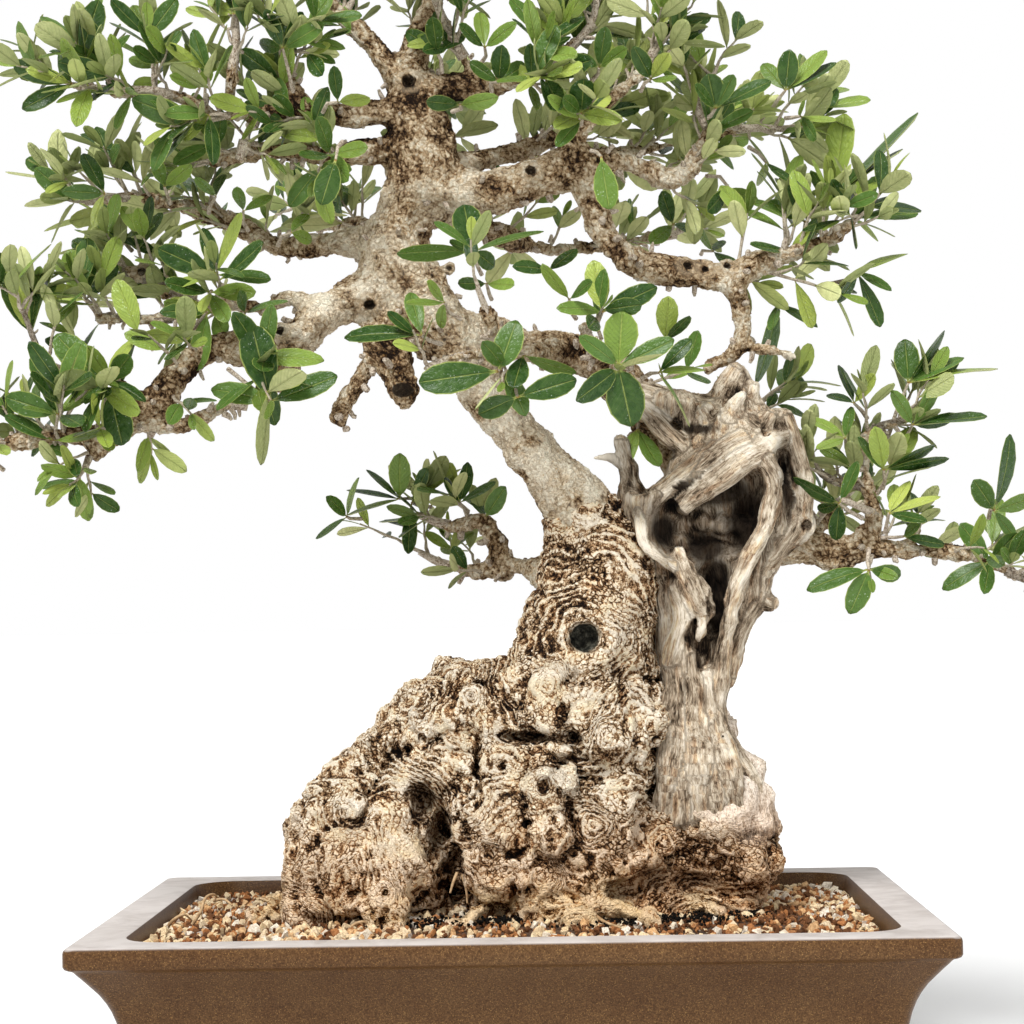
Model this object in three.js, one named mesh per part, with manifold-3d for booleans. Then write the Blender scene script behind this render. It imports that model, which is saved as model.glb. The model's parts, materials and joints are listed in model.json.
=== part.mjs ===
// Olive bonsai in a rectangular clay pot, a standalone three.js model in millimetres, +Z up.
// The tree is an old olive: a broad knotted burr, a pale live trunk that leans left and forks,
// a hollow deadwood column at its right, limbs that end in small leafy sprays, all rooted in
// a coarse grit held by an unglazed pot on four feet. X runs to the right, Y away from the front.

import * as THREE from "three";
import { mergeVertices } from "three/addons/utils/BufferGeometryUtils.js";
import Module from "manifold-3d";

const wasm = await Module();
wasm.setup();

// ---------------------------------------------------------------- driving dimensions

const POT_LENGTH = 395; // outside of the rim, along X
const POT_DEPTH = 287; // outside of the rim, along Y
const POT_HEIGHT = 95; // table to rim
const RIM_WIDTH = 22; // flat top of the rim
const RIM_LIP = 9.5; // height of the rim's outer face
const OUTER_CORNER = 7; // radius of the rim's outer corners
const INNER_CORNER = 24; // radius of the opening's corners
const FLARE_IN = 25; // how far the body draws in under the rim
const FLARE_DROP = 50; // depth over which it draws in
const FLOOR_THICK = 9;
const FOOT_HEIGHT = 11;
const DRAIN_RADIUS = 13;
const DRAIN_X = 88; // the two drain holes lie at +-DRAIN_X

const SEAT_GAP = 0.35; // clearance that stands for contact between two nodes
const SOIL_SIDE_GAP = 0.8; // the soil's loops cut the corners of the pot's, so it needs more
const SOIL_BELOW_RIM = 7;
const SOIL_MOUND = 7; // extra height of the soil where it meets the trunk
const SOIL_GRAIN = 1.3; // relief of the grit

const TREE_LEAN = THREE.MathUtils.degToRad(1); // the tree leans to the right by this much
const LEAN_PIVOT = [20.5, 147]; // x and height above the rim of the point it leans about
const TREE_SHIFT = [4, -1.3]; // how far right of the pot's middle and up the tree is planted

const LEAF_THICK = 1.1; // at the midrib
const TWIG_RADIUS = [1.5, 0.9]; // at the root and at the tip of a spray

// ---------------------------------------------------------------- materials

const material = (color, roughness) => new THREE.MeshStandardMaterial({ color, roughness, metalness: 0 });
const CLAY = material(0x7a5a40, 0.75);
const GRIT = material(0xb08a5c, 0.95);
const BARK = material(0xb3a184, 0.9);
const LEAF = material(0x4c7a34, 0.45);
const MESH = material(0x2a2a2a, 0.6);

// ---------------------------------------------------------------- tree frame data
// Points are [x, y, z] or [x, y, z, radius]; z counts up from the plane of the pot's rim.

// Swellings and hollows of the burr and the deadwood: centre, then half sizes along x, y and z.
const BURR = [
  [-79, -6, 27, 38, 36, 38], // left lobe
  [-88, -4, 0, 34, 34, 18],
  [-72, 4, 52, 26, 28, 22],
  [-48, 6, 68, 32, 32, 28],
  [-30, 4, 88, 30, 30, 26], // left shoulder
  [-12, 2, 97, 34, 32, 24],
  [30, -2, 107, 40, 36, 34],
  [22, -4, 72, 52, 43, 42], // body
  [22, -6, 28, 58, 46, 40],
  [24, -4, -6, 52, 44, 20],
  [-10, -28, 38, 24, 24, 30], // central lobe
  [42, -34, 78, 26, 17, 24],
  [14, -46, 58, 14, 12, 14],
  [8, -44, 22, 20, 14, 19],
  [100, 0, 40, 28, 33, 34], // burr under the deadwood
  [84, 2, 10, 30, 34, 26],
  [88, 0, 74, 20, 24, 28],
  [120, -6, 25, 10, 13, 12],
  [-30, 26, 44, 32, 26, 34], // back of the base
  [50, 34, 52, 34, 22, 34],
  [2, 38, 14, 40, 24, 26],
];
const BURR_HOLLOWS = [
  [-44, -36, 49, 9, 24, 15], // cleft beside the left lobe
  [-37, -36, 28, 8, 26, 18],
  [-34, -34, 7, 10, 20, 12],
  [3, -40, 86, 10, 14, 4],
  [75, -42, 17, 20, 14, 7], // undercut above the soil
];
const DEADWOOD = [
  [86, 0, 97, 15, 19, 34], // neck
  [90, 0, 130, 21, 22, 36],
  [96, 0, 165, 32, 26, 34],
  [98, 0, 200, 40, 29, 28],
  [66, -4, 192, 12, 18, 24], // left edge of the shell
  [107, 2, 228, 27, 23, 22], // cap
  [109, 2, 252, 9, 9, 15],
  [133, 0, 186, 8, 10, 9],
];
// What time and rot have taken away.
const DEADWOOD_HOLLOWS = [
  [96, -30, 192, 21, 24, 20], // mouth of the hollow
  [110, -28, 206, 14, 22, 17],
  [94, -30, 156, 11, 20, 32],
  [90, -28, 120, 7, 13, 26], // gully down the deadwood
];
// The spike between the trunks, and the dead ridge that ties the deadwood to the second trunk.
const DEADWOOD_RIDGES = [
  [[59, 4, 256, 6], [79, 2, 248, 9], [99, 2, 238, 14]],
  [[54, 0, 190, 6], [55, -2, 214, 4.5], [51, -2, 230, 3]],
  [[53, -2, 220, 3], [43, -4, 222, 1.8]],
];

const LIMBS = {
  trunk: [[28, -2, 96, 37], [34, -1, 124, 35], [39, 0, 148, 33], [41, 1, 168, 28], [37, 2, 184, 23],
    [28, 0, 197, 18], [17, -2, 212, 14], [1, -4, 232, 13], [-16, -6, 254, 13], [-32, -6, 279, 14.5],
    [-51, -4, 302, 18], [-63, 0, 321, 17.5], [-59, 2, 344, 15], [-52, 2, 364, 17], [-49, 0, 382, 18],
    [-53, -2, 399, 13], [-55, -2, 414, 10], [-51, -2, 432, 7], [-44, 0, 452, 5.5], [-47, 2, 477, 4],
    [-38, 4, 502, 2.6]],
  second_trunk: [[88, 26, 160, 15], [90, 24, 212, 14], [77, 20, 233, 12.5], [59, 16, 253, 12],
    [42, 12, 268, 11], [21, 8, 277, 9], [1, 4, 282, 7], [-16, 0, 290, 5]],
  cut_stub: [[-58, -6, 300, 13], [-67, -10, 282, 11], [-62, -14, 266, 10], [-57, -16, 255, 9]],
  dead_stub: [[-70, -8, 274, 5], [-83, -4, 256, 5], [-90, 0, 243, 5], [-90, 0, 231, 1.8]],
  // left limbs
  left_top: [[-61, -4, 397, 7], [-84, -12, 393, 5.5], [-108, -18, 393, 5], [-130, -24, 392, 4.5],
    [-143, -28, 389, 4], [-161, -32, 396, 3.2], [-178, -36, 400, 2.8], [-197, -40, 400, 2.3],
    [-217, -42, 402, 1.8]],
  left_top_drop: [[-130, -24, 391, 3.6], [-135, -24, 378, 3.4], [-138, -22, 369, 2.6]],
  left_top_riser: [[-143, -28, 390, 3.2], [-141, -30, 410, 2.8], [-139, -30, 427, 2.4],
    [-140, -30, 444, 1.8]],
  left_top_fork: [[-109, -18, 394, 4.5], [-115, -20, 411, 4], [-117, -22, 425, 3]],
  left_high: [[-66, -2, 377, 8], [-80, -6, 375, 6], [-98, -8, 372, 5], [-112, -8, 375, 5],
    [-135, -6, 375, 4.5], [-153, -4, 372, 3.5]],
  left_back: [[-68, 4, 333, 10], [-101, 14, 332, 6.5], [-124, 22, 333, 6], [-140, 28, 341, 5.5],
    [-161, 34, 351, 5], [-182, 38, 357, 4.5], [-204, 42, 361, 3.5], [-228, 46, 360, 2.5]],
  left_main: [[-58, -4, 312, 14], [-83, -10, 302, 10.5], [-98, -16, 292, 10], [-114, -22, 277, 10],
    [-131, -26, 274, 8], [-149, -30, 275, 7], [-164, -34, 263, 7], [-174, -38, 250, 7],
    [-185, -42, 239, 6.5], [-199, -46, 229, 6.5], [-203, -48, 221, 5]],
  left_main_stub: [[-114, -22, 278, 9], [-117, -24, 262, 8]],
  left_low_tip: [[-199, -46, 230, 5.5], [-218, -50, 230, 5], [-234, -54, 228, 4], [-253, -58, 223, 3],
    [-269, -60, 216, 2.2]],
  left_low_return: [[-184, -42, 237, 4.5], [-164, -36, 235, 4], [-151, -32, 242, 3.8],
    [-141, -28, 247, 3.4], [-133, -26, 246, 2.4]],
  left_low_riser: [[-182, -41, 243, 4], [-198, -46, 259, 3], [-220, -52, 262, 2.4], [-229, -54, 269, 2],
    [-237, -58, 290, 1.5]],
  left_middle: [[-98, -14, 296, 6], [-115, -8, 302, 5], [-127, -6, 297, 4.5], [-142, -6, 300, 4],
    [-155, -8, 297, 3.6], [-178, -12, 291, 3], [-208, -16, 292, 2.2]],
  left_middle_riser: [[-158, -8, 297, 3], [-174, -6, 306, 3.5], [-187, -4, 312, 3.5],
    [-199, 0, 318, 2.4]],
  // crown
  top_left: [[-56, -2, 410, 7], [-70, -6, 425, 5.5], [-84, -8, 440, 4.5], [-93, -10, 450, 3.6],
    [-108, -14, 468, 2.6], [-118, -16, 484, 1.8]],
  top_right: [[-50, -2, 406, 8], [-29, -4, 409, 7.5], [-14, -4, 409, 6], [12, -8, 416, 3],
    [35, -12, 437, 2.2], [40, -14, 460, 1.6]],
  top_front: [[-20, -4, 411, 4], [-30, -10, 426, 3], [-38, -14, 441, 2.4], [-44, -18, 456, 1.8]],
  top_back: [[-50, 8, 384, 8], [-46, 44, 394, 6], [-52, 78, 404, 4.5], [-40, 104, 418, 3]],
  apex_left: [[-46, 1, 468, 3.6], [-66, 8, 482, 2.6], [-82, 10, 494, 1.8]],
  apex_right: [[-46, 1, 470, 3.6], [-22, -4, 484, 2.6], [-2, -6, 494, 1.8]],
  apex_back: [[-45, 0, 455, 4], [-34, 28, 470, 3], [-22, 52, 484, 2]],
  // right limbs
  right_main: [[-48, 0, 360, 14], [-24, -4, 356, 12], [-9, -6, 356, 12], [7, -6, 362, 10.5],
    [21, -6, 366, 10.5], [32, -6, 366, 11], [37, -8, 349, 8], [43, -10, 332, 7.5], [59, -10, 318, 8],
    [81, -8, 314, 7.5], [101, -6, 313, 7.5], [116, -6, 317, 6.5], [133, -8, 323, 5],
    [153, -12, 330, 3.6], [164, -14, 337, 2.6]],
  right_top: [[32, -2, 369, 8], [52, 4, 372, 6.5], [69, 8, 366, 5.5], [81, 8, 365, 5], [90, 8, 376, 4],
    [98, 10, 387, 3], [122, 14, 391, 2.2], [138, 16, 390, 1.6]],
  right_top_riser: [[97, 10, 386, 3], [90, 6, 402, 2.4], [96, 4, 414, 1.8]],
  right_top_front: [[31, -8, 371, 7], [27, -12, 381, 6], [41, -14, 396, 4], [61, -16, 413, 3],
    [70, -18, 432, 2]],
  right_high: [[-40, 8, 372, 7], [-9, 18, 378, 5.5], [16, 26, 388, 4.5], [38, 34, 401, 3.2],
    [54, 40, 416, 2.2]],
  right_top_back: [[33, 2, 368, 7], [50, 36, 380, 5], [76, 62, 392, 3.5], [104, 78, 398, 2.5]],
  right_drop: [[108, -4, 310, 6], [112, -2, 289, 5], [110, 0, 277, 4.6], [95, 4, 268, 3]],
  right_drop_fork: [[111, -1, 279, 3.4], [128, -2, 275, 3], [137, -4, 272, 2]],
  back_left: [[-60, 10, 336, 9], [-78, 48, 345, 6], [-100, 80, 352, 4.5], [-122, 104, 362, 3]],
  back_right: [[-44, 8, 350, 9], [-18, 50, 345, 6.5], [14, 84, 340, 5], [48, 104, 346, 4],
    [84, 112, 352, 2.8]],
  // limbs that cross in front of the trunk
  front: [[20, 4, 277, 6], [8, -22, 273, 4.6], [-8, -40, 271, 3.6], [-28, -46, 268, 3],
    [-44, -46, 263, 2.2]],
  front_riser: [[-8, -38, 271, 3.2], [-12, -47, 281, 2.8], [-15, -53, 290, 2.2], [-19, -58, 300, 1.6]],
  front_right: [[40, 8, 270, 5], [36, -20, 276, 3.6], [32, -38, 284, 2.4]],
  front_low: [[52, 10, 262, 5], [50, -20, 264, 3.6], [48, -44, 264, 2.2]],
  // low branches
  right_low: [[108, 12, 184, 14], [137, 10, 179, 10], [157, 6, 174, 8], [176, 4, 177, 6.5],
    [194, 2, 176, 5], [221, 0, 174, 3.6], [246, -2, 164, 3], [263, -4, 157, 2.2]],
  right_low_riser: [[168, 5, 178, 6], [178, 4, 190, 5], [176, 6, 205, 4], [173, 8, 222, 3.6],
    [177, 8, 236, 2.8], [193, 4, 242, 2]],
  right_low_left: [[173, 8, 208, 3], [157, 14, 212, 2.4], [150, 18, 218, 1.8]],
  right_low_front: [[178, 4, 194, 2.8], [168, -14, 197, 2], [158, -28, 200, 1.5]],
  right_low_twig: [[194, 2, 177, 3], [199, 2, 190, 2.2]],
  right_low_back: [[142, 12, 180, 6], [154, 40, 190, 4.4], [172, 66, 204, 3]],
  back_low: [[24, 12, 158, 11], [6, 44, 168, 6.5], [-10, 56, 168, 5.5], [-24, 60, 166, 4.5],
    [-42, 64, 171, 2.8], [-54, 66, 177, 1.8]],
  back_low_riser: [[-8, 56, 170, 6], [-12, 59, 180, 5.5], [-21, 62, 192, 4.4], [-38, 64, 191, 3.4],
    [-56, 68, 197, 2]],
  behind_deadwood: [[90, 26, 214, 9], [104, 56, 236, 5], [128, 78, 258, 3]],
  // surface roots
  root_left: [[-72, -28, 12, 9], [-60, -46, 4, 5.5], [-56, -54, -5, 4], [-56, -57, -14, 3]],
  root_left_out: [[-100, -6, 8, 12], [-118, -12, 0, 7], [-130, -18, -10, 4]],
  root_centre: [[8, -40, 12, 10], [22, -52, 4, 7], [38, -60, -3, 5], [54, -66, -12, 3]],
  root_middle: [[-10, -38, 10, 9], [-22, -48, 3, 5.5], [-27, -54, -8, 4]],
  root_right: [[34, -38, 14, 10], [52, -50, 5, 5.5], [64, -60, -4, 4], [70, -68, -14, 3]],
};

// Sprays: name, root on its limb, tip, pairs of leaves, length of a leaf.
const SPRAYS = [
  ["left_top_tip", [-216, -42, 402], [-243, -50, 410], 3, 24],
  ["left_top_1", [-197, -40, 400], [-209, -44, 432], 3, 24],
  ["left_top_2", [-178, -36, 400], [-180, -44, 428], 3, 25],
  ["left_top_3", [-140, -30, 443], [-142, -36, 470], 3, 24],
  ["left_top_4", [-117, -22, 424], [-126, -32, 446], 3, 23],
  ["left_top_5", [-116, -21, 420], [-98, -36, 436], 3, 23],
  ["left_top_6", [-143, -28, 389], [-168, -50, 380], 3, 25],
  ["left_high_tip", [-152, -4, 372], [-173, -10, 366], 3, 22],
  ["left_high_front", [-98, -8, 372], [-92, -38, 368], 2, 26],
  ["left_back_tip", [-227, 46, 360], [-249, 46, 377], 3, 24],
  ["left_back_1", [-204, 42, 361], [-214, 20, 384], 3, 24],
  ["left_back_2", [-161, 34, 351], [-156, 20, 374], 3, 22],
  ["left_back_3", [-124, 22, 333], [-108, 4, 350], 3, 22],
  ["left_middle_riser", [-198, 0, 318], [-206, -14, 334], 3, 24],
  ["left_middle_tip", [-207, -16, 292], [-222, -36, 312], 3, 26],
  ["left_middle_front", [-155, -8, 297], [-146, -46, 314], 3, 28],
  ["left_main_front", [-131, -26, 274], [-117, -64, 246], 2, 34],
  ["left_main_leaf", [-198, -46, 258], [-196, -70, 250], 2, 30],
  ["left_low_riser", [-237, -58, 289], [-243, -64, 308], 3, 24],
  ["left_low_front", [-218, -50, 230], [-213, -76, 252], 3, 28],
  ["left_low_tip", [-268, -60, 216], [-290, -68, 227], 3, 25],
  ["left_low_drop", [-203, -48, 223], [-214, -58, 206], 3, 20],
  ["left_low_back", [-252, -58, 223], [-262, -36, 244], 3, 24],
  ["front_riser", [-18, -57, 298], [-22, -66, 322], 3, 26],
  ["front_left", [-43, -46, 263], [-50, -58, 280], 3, 21],
  ["front_centre", [-8, -42, 271], [-7, -68, 254], 3, 31],
  ["front_right", [33, -36, 283], [41, -56, 291], 3, 27],
  ["front_low", [48, -42, 264], [47, -66, 260], 2, 30],
  ["second_trunk", [58, 8, 256], [86, -18, 266], 3, 24],
  ["top_left", [-117, -16, 483], [-130, -20, 500], 3, 24],
  ["top_front", [-43, -18, 454], [-52, -34, 472], 3, 25],
  ["top_right", [39, -14, 458], [48, -20, 482], 3, 25],
  ["top_right_front", [8, -8, 414], [14, -44, 406], 3, 26],
  ["apex", [-39, 4, 500], [-34, 4, 520], 3, 24],
  ["apex_left", [-81, 10, 493], [-96, 14, 508], 3, 24],
  ["apex_right", [-3, -6, 493], [14, -8, 506], 3, 24],
  ["apex_back", [-23, 50, 483], [-14, 66, 500], 3, 24],
  ["right_top_front", [30, -13, 385], [38, -46, 394], 3, 27],
  ["right_top_high", [69, -18, 430], [82, -24, 452], 3, 26],
  ["right_top_riser", [95, 4, 413], [110, 0, 434], 3, 25],
  ["right_top_tip", [137, 16, 390], [156, 20, 410], 3, 25],
  ["right_top_back", [103, 78, 398], [124, 94, 414], 3, 24],
  ["right_high", [53, 40, 415], [62, 52, 438], 3, 24],
  ["right_main_tip", [163, -14, 336], [184, -22, 360], 3, 28],
  ["right_main_1", [134, -8, 323], [132, -2, 356], 3, 26],
  ["right_main_low", [118, -6, 317], [158, -20, 302], 3, 24],
  ["back_left", [-121, 103, 361], [-138, 124, 376], 3, 24],
  ["back_centre", [-41, 103, 417], [-34, 122, 440], 3, 24],
  ["back_right", [83, 112, 352], [104, 124, 372], 3, 24],
  ["right_low_1", [176, 8, 235], [170, -8, 258], 3, 28],
  ["right_low_2", [192, 4, 242], [206, 0, 264], 3, 32],
  ["right_low_drop", [176, 3, 174], [172, -22, 162], 2, 25],
  ["right_low_tip", [262, -4, 157], [284, -8, 170], 3, 26],
  ["right_low_back", [171, 66, 204], [184, 82, 222], 3, 24],
  ["back_low", [-53, 66, 177], [-86, 72, 192], 3, 23],
];

// ---------------------------------------------------------------- small tools

const { Vector3, BufferGeometry, Float32BufferAttribute } = THREE;

// A repeatable number from 0 to 1 for a row of whole numbers.
function draw(...keys) {
  let h = 2166136261;
  for (const key of keys) {
    h = Math.imul((h ^ key) >>> 0, 16777619) >>> 0;
    h = (h ^ (h >>> 13)) >>> 0;
  }
  h = Math.imul(h, 2246822519) >>> 0;
  return ((h ^ (h >>> 15)) >>> 0) / 4294967296;
}

const spread = (low, high, ...keys) => low + (high - low) * draw(...keys);

function geometryOf(points, faces) {
  return new BufferGeometry()
    .setAttribute("position", new Float32BufferAttribute(points.flatMap((p) => [p.x, p.y, p.z]), 3))
    .setIndex(faces);
}

// A closed geometry as a manifold-3d solid.
function solidOf(geometry) {
  const bare = geometry.clone();
  bare.deleteAttribute("normal");
  bare.deleteAttribute("uv");
  const merged = mergeVertices(bare, 1e-4);
  return new wasm.Manifold(
    new wasm.Mesh({
      numProp: 3,
      vertProperties: new Float32Array(merged.attributes.position.array),
      triVerts: new Uint32Array(merged.index.array),
    }),
  );
}

function meshOf(name, solid, finish) {
  const data = solid.getMesh();
  const stride = data.numProp;
  const positions = [];
  for (let i = 0; i < data.numVert; i++) {
    positions.push(...data.vertProperties.slice(i * stride, i * stride + 3));
  }
  const geometry = new BufferGeometry()
    .setAttribute("position", new Float32BufferAttribute(positions, 3))
    .setIndex([...data.triVerts]);
  geometry.computeVertexNormals();
  const mesh = new THREE.Mesh(geometry, finish);
  mesh.name = name;
  return mesh;
}

const unionOf = (solids) => wasm.Manifold.union(solids);

// The largest body of a solid: what a cut has left loose is dropped.
function largest(solid) {
  const bodies = solid.decompose();
  return bodies.reduce((best, body) => (body.volume() > best.volume() ? body : best), bodies[0]);
}

// Skins a stack of loops that have the same number of points, and closes both ends with a fan.
function loft(loops) {
  const n = loops[0].length;
  const points = loops.flat();
  const faces = [];
  for (let k = 0; k + 1 < loops.length; k++) {
    for (let i = 0; i < n; i++) {
      const a = k * n + i;
      const b = k * n + ((i + 1) % n);
      faces.push(a, b, b + n, a, b + n, a + n);
    }
  }
  const centre = (loop) => loop.reduce((sum, p) => sum.add(p), new Vector3()).divideScalar(n);
  const first = points.push(centre(loops[0])) - 1;
  const last = points.push(centre(loops.at(-1))) - 1;
  const top = (loops.length - 1) * n;
  for (let i = 0; i < n; i++) {
    faces.push(first, (i + 1) % n, i);
    faces.push(last, top + i, top + ((i + 1) % n));
  }
  return geometryOf(points, faces);
}

// ---------------------------------------------------------------- pot and soil

const CORNER_STEPS = 3;

// A rectangle with round corners at height z, as points that run anticlockwise.
function roundRect(halfX, halfY, radius, z) {
  const corners = [[1, 1, 0], [-1, 1, 90], [-1, -1, 180], [1, -1, 270]];
  return corners.flatMap(([sx, sy, start]) =>
    Array.from({ length: CORNER_STEPS + 1 }, (_, i) => {
      const angle = THREE.MathUtils.degToRad(start + (90 * i) / CORNER_STEPS);
      return new Vector3(
        sx * (halfX - radius) + radius * Math.cos(angle),
        sy * (halfY - radius) + radius * Math.sin(angle),
        z,
      );
    }),
  );
}

const halfX = POT_LENGTH / 2;
const halfY = POT_DEPTH / 2;
const PLINTH = 3; // the foot band stands out by this much
const WALL = 8.5;

// The inside of the pot: how far in from the rim's outside, and how far below the rim.
const INNER_PROFILE = [[RIM_WIDTH, 0], [RIM_WIDTH + 2, 8], [FLARE_IN + 4, 28], [FLARE_IN + WALL, 50],
  [FLARE_IN + WALL + 1, POT_HEIGHT - FOOT_HEIGHT - FLOOR_THICK]];

function innerLoop(inset, drop, gap) {
  return roundRect(halfX - inset - gap, halfY - inset - gap, INNER_CORNER, POT_HEIGHT - drop);
}

const LIP_UNDERCUT = [4, 2]; // how far in and down the flare starts from the lip

// The body at a share t of its flare, as [inset, drop]: a quarter ellipse, steep at its foot.
function flare(t) {
  const angle = (t * Math.PI) / 2;
  const [inset, drop] = LIP_UNDERCUT;
  return [
    inset + (FLARE_IN - inset) * Math.sin(angle),
    drop + RIM_LIP + (FLARE_DROP - RIM_LIP) * (1 - Math.cos(angle)),
  ];
}

function pot() {
  const outside = (inset, drop) => roundRect(halfX - inset, halfY - inset, OUTER_CORNER, POT_HEIGHT - drop);
  const bodyFoot = POT_HEIGHT - FOOT_HEIGHT;
  const loops = [
    outside(FLARE_IN - PLINTH, bodyFoot),
    outside(FLARE_IN - PLINTH, bodyFoot - 7),
    outside(FLARE_IN, bodyFoot - 10),
    ...[1, 0.75, 0.5, 0.25, 0].map((t) => outside(...flare(t))),
    outside(1.5, RIM_LIP),
    outside(0, RIM_LIP - 2),
    outside(0, 1.5),
    outside(1.5, 0),
    ...INNER_PROFILE.map(([inset, drop]) => innerLoop(inset, drop, 0)),
  ];
  const feet = [[-1, -1], [1, -1], [1, 1], [-1, 1]].map(([sx, sy]) => foot(sx, sy));
  const drains = [-DRAIN_X, DRAIN_X].map((x) => {
    const hole = new THREE.CylinderGeometry(DRAIN_RADIUS, DRAIN_RADIUS, 60, 12);
    hole.rotateX(Math.PI / 2).translate(x, 0, FOOT_HEIGHT);
    return solidOf(hole);
  });
  return unionOf([solidOf(loft(loops)), ...feet]).subtract(unionOf(drains));
}

const FOOT_LENGTH = 52;
const FOOT_THICK = 15;

// A plain corner foot: an L that follows the corner, narrower at the table.
function foot(sx, sy) {
  const reachX = halfX - FLARE_IN + PLINTH - 2;
  const reachY = halfY - FLARE_IN + PLINTH - 2;
  const bars = [[FOOT_LENGTH, FOOT_THICK], [FOOT_THICK, FOOT_LENGTH * 0.75]].map(([lengthX, lengthY]) => {
    const at = (inset, z) =>
      [[0, 0], [lengthX, 0], [lengthX, lengthY], [0, lengthY]].map(([px, py]) => new Vector3(
        sx * (reachX - Math.min(Math.max(px, inset), lengthX - inset)),
        sy * (reachY - Math.min(Math.max(py, inset), lengthY - inset)),
        z,
      ));
    const loops = [at(3, 0), at(0, FOOT_HEIGHT + 1)];
    return solidOf(loft(sx * sy > 0 ? loops : loops.map((loop) => loop.reverse())));
  });
  return unionOf(bars);
}

// Height of the soil above the table; it mounds up towards the trunk.
function soilHeight(x, y) {
  const away = Math.hypot((x - 8) / 150, (y + 2) / 90);
  const mound = SOIL_MOUND * Math.exp(-1.6 * away * away);
  return POT_HEIGHT - SOIL_BELOW_RIM + mound;
}

const SOIL_RINGS = 10;
const SOIL_POINTS = 40;
const SOIL_STRAY = 3; // how far the relief's points stray sideways

// The points of a loop set evenly along it.
function evenly(loop, count) {
  const path = new THREE.CurvePath();
  loop.forEach((p, i) => path.add(new THREE.LineCurve3(p, loop[(i + 1) % loop.length])));
  return Array.from({ length: count }, (_, i) => path.getPointAt(i / count));
}

function soil() {
  const sides = [...INNER_PROFILE].reverse().slice(0, 4).map(([inset, drop], i) =>
    evenly(innerLoop(inset, drop + (i ? 0 : -SEAT_GAP), SOIL_SIDE_GAP), SOIL_POINTS));
  const edge = sides.at(-1).map((p) => new Vector3(p.x, p.y, 0));
  const top = Array.from({ length: SOIL_RINGS }, (_, k) => {
    const share = 1 - k / SOIL_RINGS;
    return edge.map((p, i) => {
      const uneven = k === 0 ? 0 : share; // the outer ring stays true to the pot
      const x = p.x * share + spread(-SOIL_STRAY, SOIL_STRAY, 1, k, i) * uneven;
      const y = p.y * share + spread(-SOIL_STRAY, SOIL_STRAY, 2, k, i) * uneven;
      return new Vector3(x, y, soilHeight(x, y) + (k && spread(-SOIL_GRAIN, SOIL_GRAIN, 3, k, i)));
    });
  });
  return solidOf(loft([...sides, ...top]));
}

const DRAIN_MESH_SIDE = 36;
const DRAIN_MESH_THICK = 0.9;
const DRAIN_MESH_BAR = 3;

const DRAIN_MESH_Z = FOOT_HEIGHT + FLOOR_THICK + SEAT_GAP + DRAIN_MESH_THICK / 2;
const DRAIN_MESH_ROWS = 3;

// Plastic mesh over a drain hole: a square sheet with rows of square openings.
function drainMesh() {
  const pitch = DRAIN_MESH_SIDE / DRAIN_MESH_ROWS;
  const opening = new THREE.BoxGeometry(pitch - DRAIN_MESH_BAR, pitch - DRAIN_MESH_BAR, 2);
  const openings = [];
  for (let i = 0; i < DRAIN_MESH_ROWS; i++) {
    for (let j = 0; j < DRAIN_MESH_ROWS; j++) {
      const [dx, dy] = [i, j].map((k) => (k + 0.5) * pitch - DRAIN_MESH_SIDE / 2);
      openings.push(solidOf(opening.clone().translate(dx, dy, 0)));
    }
  }
  return solidOf(new THREE.BoxGeometry(DRAIN_MESH_SIDE, DRAIN_MESH_SIDE, DRAIN_MESH_THICK))
    .subtract(unionOf(openings));
}

// ---------------------------------------------------------------- wood

const BLEND = 5; // how softly swellings run into each other
const REACH = 150; // farther out than any swelling
const REACH_STEP = 0.5;
const LEAST_REACH = 3; // radius of a ring past the end of the wood

// How far a point lies outside a swelling, or inside it where this is below 0.
function outside(p, [x, y, z, rx, ry, rz], grow) {
  const share = Math.hypot((p.x - x) / (rx + grow), (p.y - y) / (ry + grow), (p.z - z) / (rz + grow));
  return (share - 1) * Math.min(rx, ry, rz);
}

const RIPPLE = 1.6; // height of the uneven skin

// The same for swellings that run into each other, less the hollows.
function woodField(p, swellings, hollows, grow) {
  const joined = swellings.reduce((sum, size) => sum + Math.exp(-outside(p, size, grow) / BLEND), 0);
  const ripple = RIPPLE * Math.sin(0.21 * p.x + 0.1 * p.z) * Math.sin(0.19 * p.z + 0.13 * p.y);
  const skinAt = ripple - BLEND * Math.log(joined);
  return hollows.reduce((most, size) => Math.max(most, -outside(p, size, -grow)), skinAt);
}

// A skin over swellings: rings round a centre line of [x, y, z], each point as far out as the wood.
function skin(swellings, hollows, centreLine, rings, sectors, grow) {
  const line = new THREE.CatmullRomCurve3(centreLine.map((p) => new Vector3(...p)));
  const loops = Array.from({ length: rings + 1 }, (_, k) => {
    const centre = line.getPoint(k / rings);
    const lift = new Vector3(0, 0, k === 0 ? -grow : k === rings ? grow : 0);
    return Array.from({ length: sectors }, (_, i) => {
      const angle = (2 * Math.PI * i) / sectors;
      const ray = new Vector3(Math.cos(angle), Math.sin(angle), 0);
      const at = (far) => centre.clone().addScaledVector(ray, far);
      let far = REACH;
      while (far > LEAST_REACH && woodField(at(far), swellings, hollows, grow) > 0) far -= REACH_STEP;
      return at(far).add(lift);
    });
  });
  return solidOf(loft(loops));
}

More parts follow.
